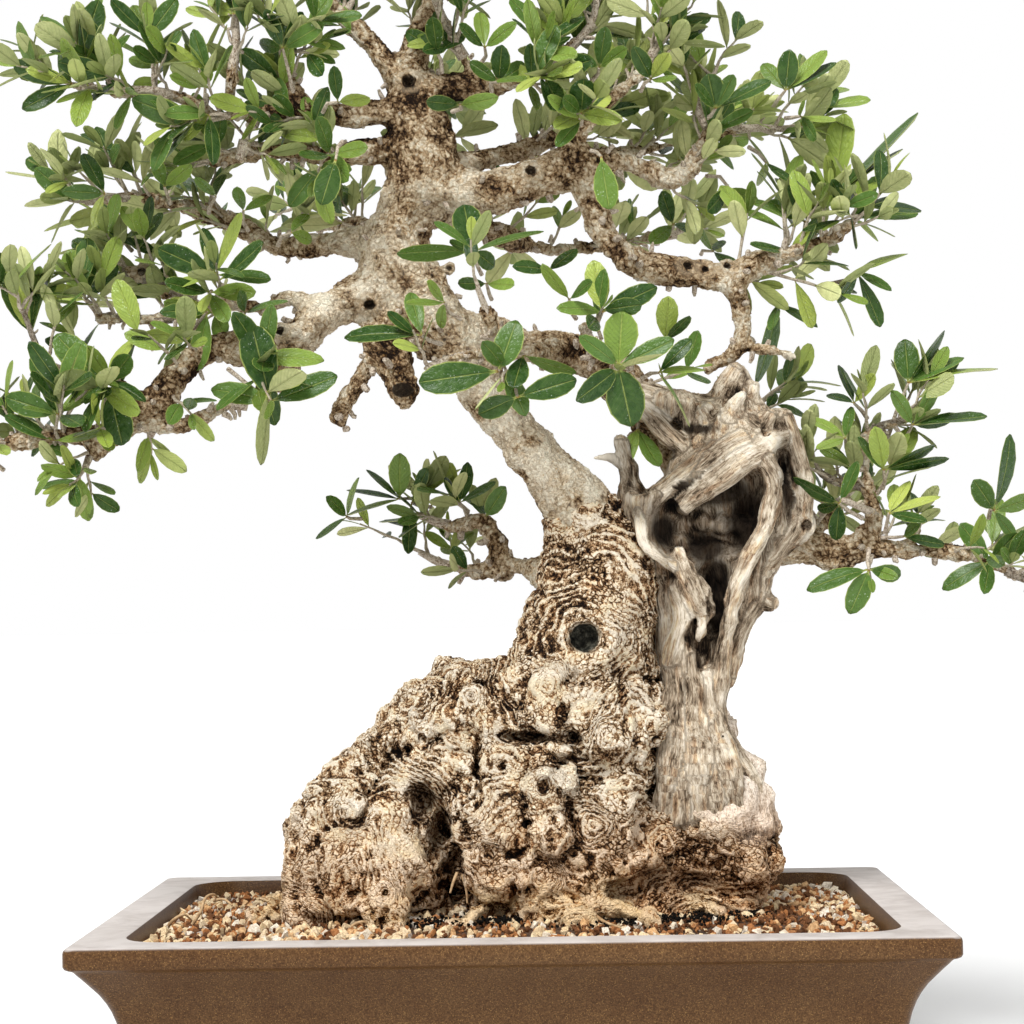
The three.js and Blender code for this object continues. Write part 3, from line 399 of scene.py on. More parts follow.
# Limbs and surface roots as routes of [x, y, z, radius].
LIMBS = {
    "trunk": [[28, -2, 96, 37], [34, -1, 124, 35], [39, 0, 148, 33], [41, 1, 168, 28], [37, 2, 184, 23],
        [28, 0, 197, 18], [17, -2, 212, 14], [1, -4, 232, 13], [-16, -6, 254, 13], [-32, -6, 279, 14.5],
        [-51, -4, 302, 18], [-63, 0, 321, 17.5], [-59, 2, 344, 15], [-52, 2, 364, 17], [-49, 0, 382, 18],
        [-53, -2, 399, 13], [-55, -2, 414, 10], [-51, -2, 432, 7], [-44, 0, 452, 5.5], [-47, 2, 477, 4],
        [-38, 4, 502, 2.6]],
    "second_trunk": [[88, 26, 160, 15], [90, 24, 212, 14], [77, 20, 233, 12.5], [59, 16, 253, 12],
        [42, 12, 268, 11], [21, 8, 277, 9], [1, 4, 282, 7], [-16, 0, 290, 5]],
    "cut_stub": [[-58, -6, 300, 13], [-67, -10, 282, 11], [-62, -14, 266, 10], [-57, -16, 255, 9]],
    "dead_stub": [[-70, -8, 274, 5], [-83, -4, 256, 5], [-90, 0, 243, 5], [-90, 0, 231, 1.8]],
    # left limbs
    "left_top": [[-61, -4, 397, 7], [-84, -12, 393, 5.5], [-108, -18, 393, 5], [-130, -24, 392, 4.5],
        [-143, -28, 389, 4], [-161, -32, 396, 3.2], [-178, -36, 400, 2.8], [-197, -40, 400, 2.3],
        [-217, -42, 402, 1.8]],
    "left_top_drop": [[-130, -24, 391, 3.6], [-135, -24, 378, 3.4], [-138, -22, 369, 2.6]],
    "left_top_riser": [[-143, -28, 390, 3.2], [-141, -30, 410, 2.8], [-139, -30, 427, 2.4],
        [-140, -30, 444, 1.8]],
    "left_top_fork": [[-109, -18, 394, 4.5], [-115, -20, 411, 4], [-117, -22, 425, 3]],
    "left_high": [[-66, -2, 377, 8], [-80, -6, 375, 6], [-98, -8, 372, 5], [-112, -8, 375, 5],
        [-135, -6, 375, 4.5], [-153, -4, 372, 3.5]],
    "left_back": [[-68, 4, 333, 10], [-101, 14, 332, 6.5], [-124, 22, 333, 6], [-140, 28, 341, 5.5],
        [-161, 34, 351, 5], [-182, 38, 357, 4.5], [-204, 42, 361, 3.5], [-228, 46, 360, 2.5]],
    "left_main": [[-58, -4, 312, 14], [-83, -10, 302, 10.5], [-98, -16, 292, 10], [-114, -22, 277, 10],
        [-131, -26, 274, 8], [-149, -30, 275, 7], [-164, -34, 263, 7], [-174, -38, 250, 7],
        [-185, -42, 239, 6.5], [-199, -46, 229, 6.5], [-203, -48, 221, 5]],
    "left_main_stub": [[-114, -22, 278, 9], [-117, -24, 262, 8]],
    "left_low_tip": [[-199, -46, 230, 5.5], [-218, -50, 230, 5], [-234, -54, 228, 4], [-253, -58, 223, 3],
        [-269, -60, 216, 2.2]],
    "left_low_return": [[-184, -42, 237, 4.5], [-164, -36, 235, 4], [-151, -32, 242, 3.8],
        [-141, -28, 247, 3.4], [-133, -26, 246, 2.4]],
    "left_low_riser": [[-182, -41, 243, 4], [-198, -46, 259, 3], [-220, -52, 262, 2.4], [-229, -54, 269, 2],
        [-237, -58, 290, 1.5]],
    "left_middle": [[-98, -14, 296, 6], [-115, -8, 302, 5], [-127, -6, 297, 4.5], [-142, -6, 300, 4],
        [-155, -8, 297, 3.6], [-178, -12, 291, 3], [-208, -16, 292, 2.2]],
    "left_middle_riser": [[-158, -8, 297, 3], [-174, -6, 306, 3.5], [-187, -4, 312, 3.5],
        [-199, 0, 318, 2.4]],
    # crown
    "top_left": [[-56, -2, 410, 7], [-70, -6, 425, 5.5], [-84, -8, 440, 4.5], [-93, -10, 450, 3.6],
        [-108, -14, 468, 2.6], [-118, -16, 484, 1.8]],
    "top_right": [[-50, -2, 406, 8], [-29, -4, 409, 7.5], [-14, -4, 409, 6], [12, -8, 416, 3],
        [35, -12, 437, 2.2], [40, -14, 460, 1.6]],
    "top_front": [[-20, -4, 411, 4], [-30, -10, 426, 3], [-38, -14, 441, 2.4], [-44, -18, 456, 1.8]],
    "top_back": [[-50, 8, 384, 8], [-46, 44, 394, 6], [-52, 78, 404, 4.5], [-40, 104, 418, 3]],
    "apex_left": [[-46, 1, 468, 3.6], [-66, 8, 482, 2.6], [-82, 10, 494, 1.8]],
    "apex_right": [[-46, 1, 470, 3.6], [-22, -4, 484, 2.6], [-2, -6, 494, 1.8]],
    "apex_back": [[-45, 0, 455, 4], [-34, 28, 470, 3], [-22, 52, 484, 2]],
    # right limbs
    "right_main": [[-48, 0, 360, 14], [-24, -4, 356, 12], [-9, -6, 356, 12], [7, -6, 362, 10.5],
        [21, -6, 366, 10.5], [32, -6, 366, 11], [37, -8, 349, 8], [43, -10, 332, 7.5], [59, -10, 318, 8],
        [81, -8, 314, 7.5], [101, -6, 313, 7.5], [116, -6, 317, 6.5], [133, -8, 323, 5],
        [153, -12, 330, 3.6], [164, -14, 337, 2.6]],
    "right_top": [[32, -2, 369, 8], [52, 4, 372, 6.5], [69, 8, 366, 5.5], [81, 8, 365, 5], [90, 8, 376, 4],
        [98, 10, 387, 3], [122, 14, 391, 2.2], [138, 16, 390, 1.6]],
    "right_top_riser": [[97, 10, 386, 3], [90, 6, 402, 2.4], [96, 4, 414, 1.8]],
    "right_top_front": [[31, -8, 371, 7], [27, -12, 381, 6], [41, -14, 396, 4], [61, -16, 413, 3],
        [70, -18, 432, 2]],
    "right_high": [[-40, 8, 372, 7], [-9, 18, 378, 5.5], [16, 26, 388, 4.5], [38, 34, 401, 3.2],
        [54, 40, 416, 2.2]],
    "right_top_back": [[33, 2, 368, 7], [50, 36, 380, 5], [76, 62, 392, 3.5], [104, 78, 398, 2.5]],
    "right_drop": [[108, -4, 310, 6], [112, -2, 289, 5], [110, 0, 277, 4.6], [95, 4, 268, 3]],
    "right_drop_fork": [[111, -1, 279, 3.4], [128, -2, 275, 3], [137, -4, 272, 2]],
    "back_left": [[-60, 10, 336, 9], [-78, 48, 345, 6], [-100, 80, 352, 4.5], [-122, 104, 362, 3]],
    "back_right": [[-44, 8, 350, 9], [-18, 50, 345, 6.5], [14, 84, 340, 5], [48, 104, 346, 4],
        [84, 112, 352, 2.8]],
    # limbs that cross in front of the trunk
    "front": [[20, 4, 277, 6], [8, -22, 273, 4.6], [-8, -40, 271, 3.6], [-28, -46, 268, 3],
        [-44, -46, 263, 2.2]],
    "front_riser": [[-8, -38, 271, 3.2], [-12, -47, 281, 2.8], [-15, -53, 290, 2.2], [-19, -58, 300, 1.6]],
    "front_right": [[40, 8, 270, 5], [36, -20, 276, 3.6], [32, -38, 284, 2.4]],
    "front_low": [[52, 10, 262, 5], [50, -20, 264, 3.6], [48, -44, 264, 2.2]],
    # low branches
    "right_low": [[108, 12, 184, 14], [137, 10, 179, 10], [157, 6, 174, 8], [176, 4, 177, 6.5],
        [194, 2, 176, 5], [221, 0, 174, 3.6], [246, -2, 164, 3], [263, -4, 157, 2.2]],
    "right_low_riser": [[168, 5, 178, 6], [178, 4, 190, 5], [176, 6, 205, 4], [173, 8, 222, 3.6],
        [177, 8, 236, 2.8], [193, 4, 242, 2]],
    "right_low_left": [[173, 8, 208, 3], [157, 14, 212, 2.4], [150, 18, 218, 1.8]],
    "right_low_front": [[178, 4, 194, 2.8], [168, -14, 197, 2], [158, -28, 200, 1.5]],
    "right_low_twig": [[194, 2, 177, 3], [199, 2, 190, 2.2]],
    "right_low_back": [[142, 12, 180, 6], [154, 40, 190, 4.4], [172, 66, 204, 3]],
    "back_low": [[24, 12, 158, 11], [6, 44, 168, 6.5], [-10, 56, 168, 5.5], [-24, 60, 166, 4.5],
        [-42, 64, 171, 2.8], [-54, 66, 177, 1.8]],
    "back_low_riser": [[-8, 56, 170, 6], [-12, 59, 180, 5.5], [-21, 62, 192, 4.4], [-38, 64, 191, 3.4],
        [-56, 68, 197, 2]],
    "behind_deadwood": [[90, 26, 214, 9], [104, 56, 236, 5], [128, 78, 258, 3]],
    # surface roots
    "root_left": [[-72, -28, 12, 9], [-60, -46, 4, 5.5], [-56, -54, -5, 4], [-56, -57, -14, 3]],
    "root_left_out": [[-100, -6, 8, 12], [-118, -12, 0, 7], [-130, -18, -10, 4]],
    "root_centre": [[8, -40, 12, 10], [22, -52, 4, 7], [38, -60, -3, 5], [54, -66, -12, 3]],
    "root_middle": [[-10, -38, 10, 9], [-22, -48, 3, 5.5], [-27, -54, -8, 4]],
    "root_right": [[34, -38, 14, 10], [52, -50, 5, 5.5], [64, -60, -4, 4], [70, -68, -14, 3]],
}

# Sprays: name, root on its limb, tip, pairs of leaves, length of a leaf.
SPRAYS = [
    ["left_top_tip", [-216, -42, 402], [-243, -50, 410], 3, 24],
    ["left_top_1", [-197, -40, 400], [-209, -44, 432], 3, 24],
    ["left_top_2", [-178, -36, 400], [-180, -44, 428], 3, 25],
    ["left_top_3", [-140, -30, 443], [-142, -36, 470], 3, 24],
    ["left_top_4", [-117, -22, 424], [-126, -32, 446], 3, 23],
    ["left_top_5", [-116, -21, 420], [-98, -36, 436], 3, 23],
    ["left_top_6", [-143, -28, 389], [-168, -50, 380], 3, 25],
    ["left_high_tip", [-152, -4, 372], [-173, -10, 366], 3, 22],
    ["left_high_front", [-98, -8, 372], [-92, -38, 368], 2, 26],
    ["left_back_tip", [-227, 46, 360], [-249, 46, 377], 3, 24],
    ["left_back_1", [-204, 42, 361], [-214, 20, 384], 3, 24],
    ["left_back_2", [-161, 34, 351], [-156, 20, 374], 3, 22],
    ["left_back_3", [-124, 22, 333], [-108, 4, 350], 3, 22],
    ["left_middle_riser", [-198, 0, 318], [-206, -14, 334], 3, 24],
    ["left_middle_tip", [-207, -16, 292], [-222, -36, 312], 3, 26],
    ["left_middle_front", [-155, -8, 297], [-146, -46, 314], 3, 28],
    ["left_main_front", [-131, -26, 274], [-117, -64, 246], 2, 34],
    ["left_main_leaf", [-198, -46, 258], [-196, -70, 250], 2, 30],
    ["left_low_riser", [-237, -58, 289], [-243, -64, 308], 3, 24],
    ["left_low_front", [-218, -50, 230], [-213, -76, 252], 3, 28],
    ["left_low_tip", [-268, -60, 216], [-290, -68, 227], 3, 25],
    ["left_low_drop", [-203, -48, 223], [-214, -58, 206], 3, 20],
    ["left_low_back", [-252, -58, 223], [-262, -36, 244], 3, 24],
    ["front_riser", [-18, -57, 298], [-22, -66, 322], 3, 26],
    ["front_left", [-43, -46, 263], [-50, -58, 280], 3, 21],
    ["front_centre", [-8, -42, 271], [-7, -68, 254], 3, 31],
    ["front_right", [33, -36, 283], [41, -56, 291], 3, 27],
    ["front_low", [48, -42, 264], [47, -66, 260], 2, 30],
    ["second_trunk", [58, 8, 256], [86, -18, 266], 3, 24],
    ["top_left", [-117, -16, 483], [-130, -20, 500], 3, 24],
    ["top_front", [-43, -18, 454], [-52, -34, 472], 3, 25],
    ["top_right", [39, -14, 458], [48, -20, 482], 3, 25],
    ["top_right_front", [8, -8, 414], [14, -44, 406], 3, 26],
    ["apex", [-39, 4, 500], [-34, 4, 520], 3, 24],
    ["apex_left", [-81, 10, 493], [-96, 14, 508], 3, 24],
    ["apex_right", [-3, -6, 493], [14, -8, 506], 3, 24],
    ["apex_back", [-23, 50, 483], [-14, 66, 500], 3, 24],
    ["right_top_front", [30, -13, 385], [38, -46, 394], 3, 27],
    ["right_top_high", [69, -18, 430], [82, -24, 452], 3, 26],
    ["right_top_riser", [95, 4, 413], [110, 0, 434], 3, 25],
    ["right_top_tip", [137, 16, 390], [156, 20, 410], 3, 25],
    ["right_top_back", [103, 78, 398], [124, 94, 414], 3, 24],
    ["right_high", [53, 40, 415], [62, 52, 438], 3, 24],
    ["right_main_tip", [163, -14, 336], [184, -22, 360], 3, 28],
    ["right_main_1", [134, -8, 323], [132, -2, 356], 3, 26],
    ["right_main_low", [118, -6, 317], [158, -20, 302], 3, 24],
    ["back_left", [-121, 103, 361], [-138, 124, 376], 3, 24],
    ["back_centre", [-41, 103, 417], [-34, 122, 440], 3, 24],
    ["back_right", [83, 112, 352], [104, 124, 372], 3, 24],
    ["right_low_1", [176, 8, 235], [170, -8, 258], 3, 28],
    ["right_low_2", [192, 4, 242], [206, 0, 264], 3, 32],
    ["right_low_drop", [176, 3, 174], [172, -22, 162], 2, 25],
    ["right_low_tip", [262, -4, 157], [284, -8, 170], 3, 26],
    ["right_low_back", [171, 66, 204], [184, 82, 222], 3, 24],
    ["back_low", [-53, 66, 177], [-86, 72, 192], 3, 23],
]


# ------------------------------------------------------------------ wood as a field of distances

FAR = 60.0


def soft_min(a, b, reach):
    """The lower of two distances, rounded off where they come within reach of each other."""
    overlap = np.maximum(reach - np.abs(a - b), 0) / reach
    return np.minimum(a, b) - overlap * overlap * reach * 0.25


def ellipsoid(x, y, z, size):
    """About how far a place lies outside an ellipsoid: centre, then half sizes."""
    cx, cy, cz, rx, ry, rz = size
    share = np.sqrt(((x - cx) / rx) ** 2 + ((y - cy) / ry) ** 2 + ((z - cz) / rz) ** 2)
    return (share - 1) * min(rx, ry, rz)


def smooth_route(route, gap=4.0):
    """Points [x, y, z, radius] set closely along a smooth curve through those of a route."""
    p = np.array(route, float)
    ends = np.vstack([2 * p[0] - p[1], p, 2 * p[-1] - p[-2]])
    made = []
    for a, b, c, d in zip(ends, ends[1:], ends[2:], ends[3:]):
        steps = max(2, int(np.ceil(np.linalg.norm((c - b)[:3]) / gap)))
        t = np.linspace(0, 1, steps, endpoint=False)[:, None]
        made.append(0.5 * (2 * b + (c - a) * t + (2 * a - 5 * b + 4 * c - d) * t ** 2
                           + (3 * b - a - 3 * c + d) * t ** 3))
    made = np.vstack(made + [p[-1:]])
    made[:, 3] = np.maximum(made[:, 3], 0.5)
    return made


class Field:
    """Distances to the skin of the wood on a grid, in millimetres and below 0 inside it."""

    def __init__(self, low, high, step):
        self.low, self.step = np.array(low, float), step
        self.shape = tuple(np.ceil((np.array(high) - low) / step).astype(int) + 1)
        self.d = np.full(self.shape, FAR, np.float32)

    def window(self, low, high):
        """The part of the grid between two corners, and its places along x, y and z."""
        first = np.clip(np.floor((np.array(low) - self.low) / self.step), 0, None).astype(int)
        last = np.minimum(np.ceil((np.array(high) - self.low) / self.step).astype(int) + 1, self.shape)
        part = tuple(slice(a, max(a, b)) for a, b in zip(first, last))
        axes = [(self.low[k] + self.step * np.arange(part[k].start, part[k].stop)).astype(np.float32)
                for k in range(3)]
        return part, (axes[0][:, None, None], axes[1][None, :, None], axes[2][None, None, :])

    def whole(self):
        """Places along x, y and z of the whole grid."""
        return self.window(self.low, self.low + self.step * np.array(self.shape))[1]

    def swellings(self, sizes, blend):
        """Ellipsoids that run softly into each other."""
        total = np.zeros(self.shape, np.float32)
        for size in sizes:
            centre, half = np.array(size[:3]), np.array(size[3:])
            part, (x, y, z) = self.window(centre - half * 2 - 20, centre + half * 2 + 20)
            total[part] += np.exp(-ellipsoid(x, y, z, size) / blend)
        self.d = np.minimum(self.d, -blend * np.log(np.maximum(total, 1e-6)))

    def tube(self, route, blend, swell=0.0):
        """A tapered limb along a route, grown into what is there."""
        points = smooth_route(route)
        margin = 3 * self.step + blend
        reach = points[:, 3].max() + margin
        part, _ = self.window(points[:, :3].min(0) - reach, points[:, :3].max(0) + reach)
        own = np.full(self.d[part].shape, FAR, np.float32)
        start = [s.start for s in part]
        for a, b in zip(points, points[1:]):
            reach = max(a[3], b[3]) + margin
            piece, (x, y, z) = self.window(np.minimum(a, b)[:3] - reach, np.maximum(a, b)[:3] + reach)
            along = b[:3] - a[:3]
            share = (x - a[0]) * along[0] + (y - a[1]) * along[1] + (z - a[2]) * along[2]
            share = np.clip(share / max(1e-6, along @ along), 0, 1)
            away = np.sqrt((x - a[0] - along[0] * share) ** 2 + (y - a[1] - along[1] * share) ** 2
                           + (z - a[2] - along[2] * share) ** 2)
            distance = away - (a[3] + swell + (b[3] - a[3]) * share)
            inner = tuple(slice(s.start - o, s.stop - o) for s, o in zip(piece, start))
            own[inner] = np.minimum(own[inner], distance)
        self.d[part] = soft_min(self.d[part], own, blend)

    def add(self, size, blend, room=12, sign=1):
        """A swelling that runs softly into what is there, or a hollow where the sign is -1."""
        centre, half = np.array(size[:3]), np.array(size[3:])
        part, (x, y, z) = self.window(centre - half - room, centre + half + room)
        own = ellipsoid(x, y, z, size).astype(np.float32)
        self.d[part] = sign * soft_min(sign * self.d[part], own, blend)

    def hollow(self, size, blend):
        self.add(size, blend, 8, -1)

    def groove(self, route, blend=2.0):
        """A channel along a route, cut out of what is there."""
        points = smooth_route(route, 3.0)
        for a, b in zip(points, points[1:]):
            reach = max(a[3], b[3]) + 6
            part, (x, y, z) = self.window(np.minimum(a, b)[:3] - reach, np.maximum(a, b)[:3] + reach)
            middle, radius = (a[:3] + b[:3]) / 2, (a[3] + b[3]) / 2
            away = np.sqrt((x - middle[0]) ** 2 + (y - middle[1]) ** 2 + (z - middle[2]) ** 2)
            self.d[part] = -soft_min(-self.d[part], (away - radius).astype(np.float32), blend)

    def noise(self, cell, seed):
        """Smooth noise from -1 to 1 on the whole grid, in lumps about a cell wide."""
        counts = [int(n * self.step / cell) + 3 for n in self.shape]
        made = np.random.default_rng(seed).uniform(-1, 1, counts).astype(np.float32)
        for axis, n in enumerate(self.shape):
            at = np.arange(n) * self.step / cell
            floor = at.astype(int)
            share = at - floor
            share = share * share * (3 - 2 * share)
            weights = np.zeros((n, counts[axis]), np.float32)
            weights[np.arange(n), floor] = 1 - share
            weights[np.arange(n), floor + 1] = share
            made = np.moveaxis(np.tensordot(weights, made, axes=(1, axis)), 0, axis)
        return made

    def sample(self, values, points):
        """What a grid of values says at points that lie between its nodes."""
        at = (points - self.low) / self.step
        floor = np.clip(np.floor(at).astype(int), 0, np.array(self.shape) - 2)
        share = at - floor
        total = np.zeros(len(points))
        for dx, dy, dz in np.ndindex(2, 2, 2):
            weight = np.ones(len(points))
            for axis, far in enumerate((dx, dy, dz)):
                weight *= share[:, axis] if far else 1 - share[:, axis]
            total += weight * values[floor[:, 0] + dx, floor[:, 1] + dy, floor[:, 2] + dz]
        return total

    def hidden(self, points, normals, reach):
        """How far each point lies in a recess: 0 on open skin, up to 1 where other skin is close. The shaders
        darken the wood by it, as painted shade.
        """
        return np.clip(1 - self.sample(self.d, points + normals * reach) / reach, 0, 1)

    def crest(self, points, normals, reach):
        """How far each point lies on a ridge: 0 on broad wood, up to 1 on a thin edge. The shaders make the
        wood paler by it, as a painted highlight.
        """
        return np.clip(1 + self.sample(self.d, points - normals * reach) / reach, 0, 1)

    def face(self, x, z, side=-1):
        """Where a ray along Y first meets the wood at x, z, from the front (-1) or the back (1)."""
        i, k = (int(round((v - self.low[n]) / self.step)) for v, n in ((x, 0), (z, 2)))
        inside = np.flatnonzero(self.d[i, :, k] < 0)
        if not len(inside):
            return 0.0
        return float(self.low[1] + self.step * (inside[0] if side < 0 else inside[-1]))

    def skin(self):
        """Points and four-sided faces of the skin, outward, without loose crumbs."""
        grid = openvdb.FloatGrid(FAR)
        edge = 3 * self.step
        grid.copyFromArray(np.clip(self.d, -edge, edge).astype(np.float32))
        grid.transform = openvdb.createLinearTransform(voxelSize=self.step)
        points, quads = grid.convertToQuads(isovalue=0.0)
        points = points.astype(float) + self.low
        keep_faces = largest_island(len(points), quads)
        used, renumbered = np.unique(quads[keep_faces], return_inverse=True)
        points, quads = points[used], renumbered.reshape(-1, 4)
        a, b, c = points[quads[:, 0]], points[quads[:, 1]], points[quads[:, 2]]
        if np.einsum("ij,ij->", a, np.cross(b, c)) < 0:
            quads = quads[:, ::-1]
        return points, quads


def largest_island(count, quads):
    """Which faces belong to the largest piece that hangs together."""
    label = np.arange(count)
    ends = np.concatenate([quads[:, [0, 1]], quads[:, [1, 2]], quads[:, [2, 3]]])
    while True:
        low = np.minimum(label[ends[:, 0]], label[ends[:, 1]])
        new = label.copy()
        for side in (0, 1):
            np.minimum.at(new, ends[:, side], low)
            np.minimum.at(new, label[ends[:, side]], low)
        new = new[new][new]
        if (new == label).all():
            break
        label = new
    of_face = label[quads[:, 0]]
    values, counts = np.unique(of_face, return_counts=True)
    return of_face == values[counts.argmax()]


def flat_bottom(thing, height):
    """Cuts a piece off at a height and closes it with one flat face."""
    made = bmesh.new()
    made.from_mesh(thing.data)
    everything = made.verts[:] + made.edges[:] + made.faces[:]
    bmesh.ops.bisect_plane(made, geom=everything, plane_co=(0, 0, height), plane_no=(0, 0, -1),
                           clear_outer=True)
    rim = [e for e in made.edges if e.is_boundary]
    bmesh.ops.holes_fill(made, edges=rim)
    made.to_mesh(thing.data)
    made.free()


# ------------------------------------------------------------------ burr

BURR_BLEND = 5.0
BURR_STEP = 1.58
SOIL_CUT = -15.0  # the wood goes this far below the rim

# Ring knots as x, z, radius, depth of the hole in the middle, and side: -1 front, 1 back.
KNOTS = [
    [-84, 49, 10, 0, -1], [-63, 12, 5.5, 6, -1], [12, 63, 8.5, 4, -1], [11, 20, 7.5, 0, -1],
    [-23, 105, 5.5, 4, -1], [26, 86, 5, 9, -1], [43, 86, 7, 0, -1], [70, 34, 7, 0, -1],
    [92, 60, 4, 3, -1], [-38, 118, 6, 0, -1], [14, 110, 8, 0, -1], [-100, 22, 7, 0, -1],
    [-14, 30, 6, 2, -1], [100, 44, 7, 0, -1], [-47, 84, 5, 3, -1], [36, 44, 7, 0, -1],
    [-20, 60, 9, 3, 1], [30, 90, 10, 5, 1], [60, 40, 9, 2, 1], [-60, 55, 9, 3, 1],
    [108, 53, 5, 0, -1], [118, 41, 6, 0, -1], [86, 42, 6, 2, -1], [101, 34, 5, 0, -1], [114, 27, 6, 0, -1],
    [125, 25, 5, 0, -1], [80, 27, 6, 0, -1], [121, 56, 4, 0, -1], [80, 60, 5, 0, -1], [97, 22, 5, 2, -1],
    [5, 35, 8, 0, 1], [95, 62, 9, 2, 1], [40, 130, 8, 3, 1], [-80, 20, 8, 0, 1],
]
EYE_HOLE = [32, 133, 8.5]  # the plugged one, as x, z and radius
SURFACE_ROOTS = ["root_left", "root_left_out", "root_centre", "root_middle", "root_right"]
RING_PITCH = 3.4  # from one ring of a knot to the next
# Smooth cream stretches of the bark as x, z, half width and half height on the front.
CREAM_PATCHES = [
    [50, 140, 9, 16], [52, 165, 7, 15], [30, 186, 14, 5], [14, 118, 16, 6], [-42, 88, 11, 6],
    [-56, 34, 15, 6], [-74, 52, 12, 4], [-30, 78, 9, 8], [40, 70, 13, 7], [22, 68, 9, 5],
    [30, 104, 12, 4], [-38, 122, 8, 5], [-2, 66, 8, 5], [60, 96, 5, 9], [-64, 62, 9, 4],
]
# The bared flank under the old wood, as ellipsoids.
BARE_FLANK = [[98, -20, 70, 27, 40, 28], [114, -10, 54, 18, 44, 20], [92, -10, 98, 19, 34, 22]]
# Finer surface roots, as routes of [x, y, z, radius].
MORE_ROOTS = [
    [[-62, -40, 20, 5], [-64, -45, 10, 4.2], [-69, -49, 0, 3.6], [-70, -50, -12, 3]],
    [[-27, -42, 12, 4], [-29, -48, 4, 3.4], [-28, -52, -5, 3], [-28, -52, -13, 2.6]],
    [[-34, -40, 8, 2.4], [-42, -46, 3, 1.8], [-47, -50, -2, 1.4], [-50, -52, -8, 1.2]],
    [[14, -46, 14, 4], [18, -54, 5, 3], [26, -58, -3, 2.2], [34, -60, -10, 1.8]],
    [[88, -28, 6, 6], [94, -34, 0, 4], [98, -38, -10, 3]],
]
# Small caves, as ellipsoids.
BURR_CAVES = [
    [-50, -40, 58, 6, 14, 4.5], [1, -42, 85, 11, 10, 2.0], [26, -46, 85, 5, 9, 3.2], [86, -30, 14, 12, 12, 6],
    [52, -44, 12, 12, 10, 5],
]
# Folds and raised lips of the bark, as routes.
BURR_FOLDS = [
    [[46, -36, 118, 2.2], [50, -38, 108, 2.6], [48, -44, 98, 2.0]],
    [[-6, -40, 72, 2], [-16, -44, 62, 2.6], [-18, -46, 50, 2]],
    [[20, -46, 74, 1.8], [30, -48, 66, 2.4], [44, -46, 62, 2]],
    [[-70, -40, 34, 1.8], [-60, -40, 30, 2.2], [-52, -40, 24, 2]],
    [[-98, -30, 60, 1.6], [-90, -36, 66, 2], [-76, -36, 66, 1.8]],
    [[64, -38, 52, 2], [68, -36, 74, 2.4], [66, -36, 92, 2], [70, -30, 104, 2]],
]
BURR_LIPS = [
    [[24, -36, 124, 3], [33, -38, 120, 3.6], [42, -37, 126, 3.6], [46, -36, 136, 3]],
]
PHASE_TURNS = 5.2  # lines of the bark from one lump of its slow pattern to the next


def reaches(points, sizes, edge=0.45):
    """How much of each point lies in flat ellipses x, z, half width, half height on the front."""
    share = np.zeros(len(points))
    for x, z, half_x, half_z in sizes:
        away = np.hypot((points[:, 0] - x) / half_x, (points[:, 2] - z) / half_z)
        share = np.maximum(share, np.clip((1 + edge - away) / (2 * edge), 0, 1))
    return share * (points[:, 1] < 0)


def within(place, sizes, start, fade):
    """How much of a place lies in any of the ellipsoids, whose edges fade over some millimetres."""
    share = 0.0
    for size in sizes:
        share = np.maximum(share, np.clip(start - ellipsoid(*place, size) / fade, 0, 1))
    return share


def around(points, places, start):
    """How much of each point lies round any of the places [x, y, z, reach]."""
    share = np.zeros(len(points))
    for *place, reach in places:
        away = np.linalg.norm(points - place, axis=1)
        share = np.maximum(share, np.clip(start - away / reach, 0, 1))
    return share


def bared(*place):
    """How much of a place lies in the bared flank."""
    return within(place, BARE_FLANK, 0.5, 8)


def burr_field():
    field = Field((-134, -72, -30), (142, 74, 232), BURR_STEP)
    field.swellings(BURR, BURR_BLEND)
    field.tube(LIMBS["trunk"][:7], 8.0, swell=0.6)
    for name in SURFACE_ROOTS:
        field.tube(LIMBS[name], 4.0)
    for extra in MORE_ROOTS:
        field.tube(extra, 3.0)
    # lobes of two sizes that meet in sharp creases, less so up the trunk
    place = field.whole()
    rough = np.clip((172 - place[2]) / 80, 0.35, 1) * (1 - 0.3 * bared(*place))
    for cell, seed, rise, crease in ((25, 5, 8.5, 3.4), (11.5, 7, 4.0, 1.4)):
        lobe = np.abs(field.noise(cell, seed) + 0.3 * field.noise(cell * 0.45, seed + 1))
        field.d += rough * (rise * (0.33 - np.minimum(lobe, 0.85)) + crease * np.clip(1 - lobe / 0.09, 0, 1))
    for size in BURR_HOLLOWS + BURR_CAVES:
        field.hollow(size, 4.0)
    for route in BURR_FOLDS:
        field.groove(route)
    for route in BURR_LIPS:
        field.tube(route, 8.0)
    return field


def knot_rings(points, normals, centres, phase):
    """Bends the lines of the bark into rings round each knot, and says how much of a point is knot."""
    share = np.zeros(len(points))
    for centre, radius in centres:
        away = points - centre
        near = np.einsum("ij,ij->i", away, away) < (radius * 2.4) ** 2
        flat = away[near] - normals[near] * np.einsum("ij,ij->i", away[near], normals[near])[:, None]
        r = np.linalg.norm(flat, axis=1)
        r = r * (1 + 0.10 * np.sin(3 * np.arctan2(flat[:, 2], flat[:, 0]) + centre[0]))
        fade = np.clip(2.0 - 1.25 * r / radius, 0, 1)
        middle = phase[near][np.argmin(r)]
        cone = np.maximum(1.5 * radius - r, 0) / RING_PITCH
        phase[near] += (middle - phase[near]) * fade + cone
        share[near] = np.maximum(share[near], fade)
    return share


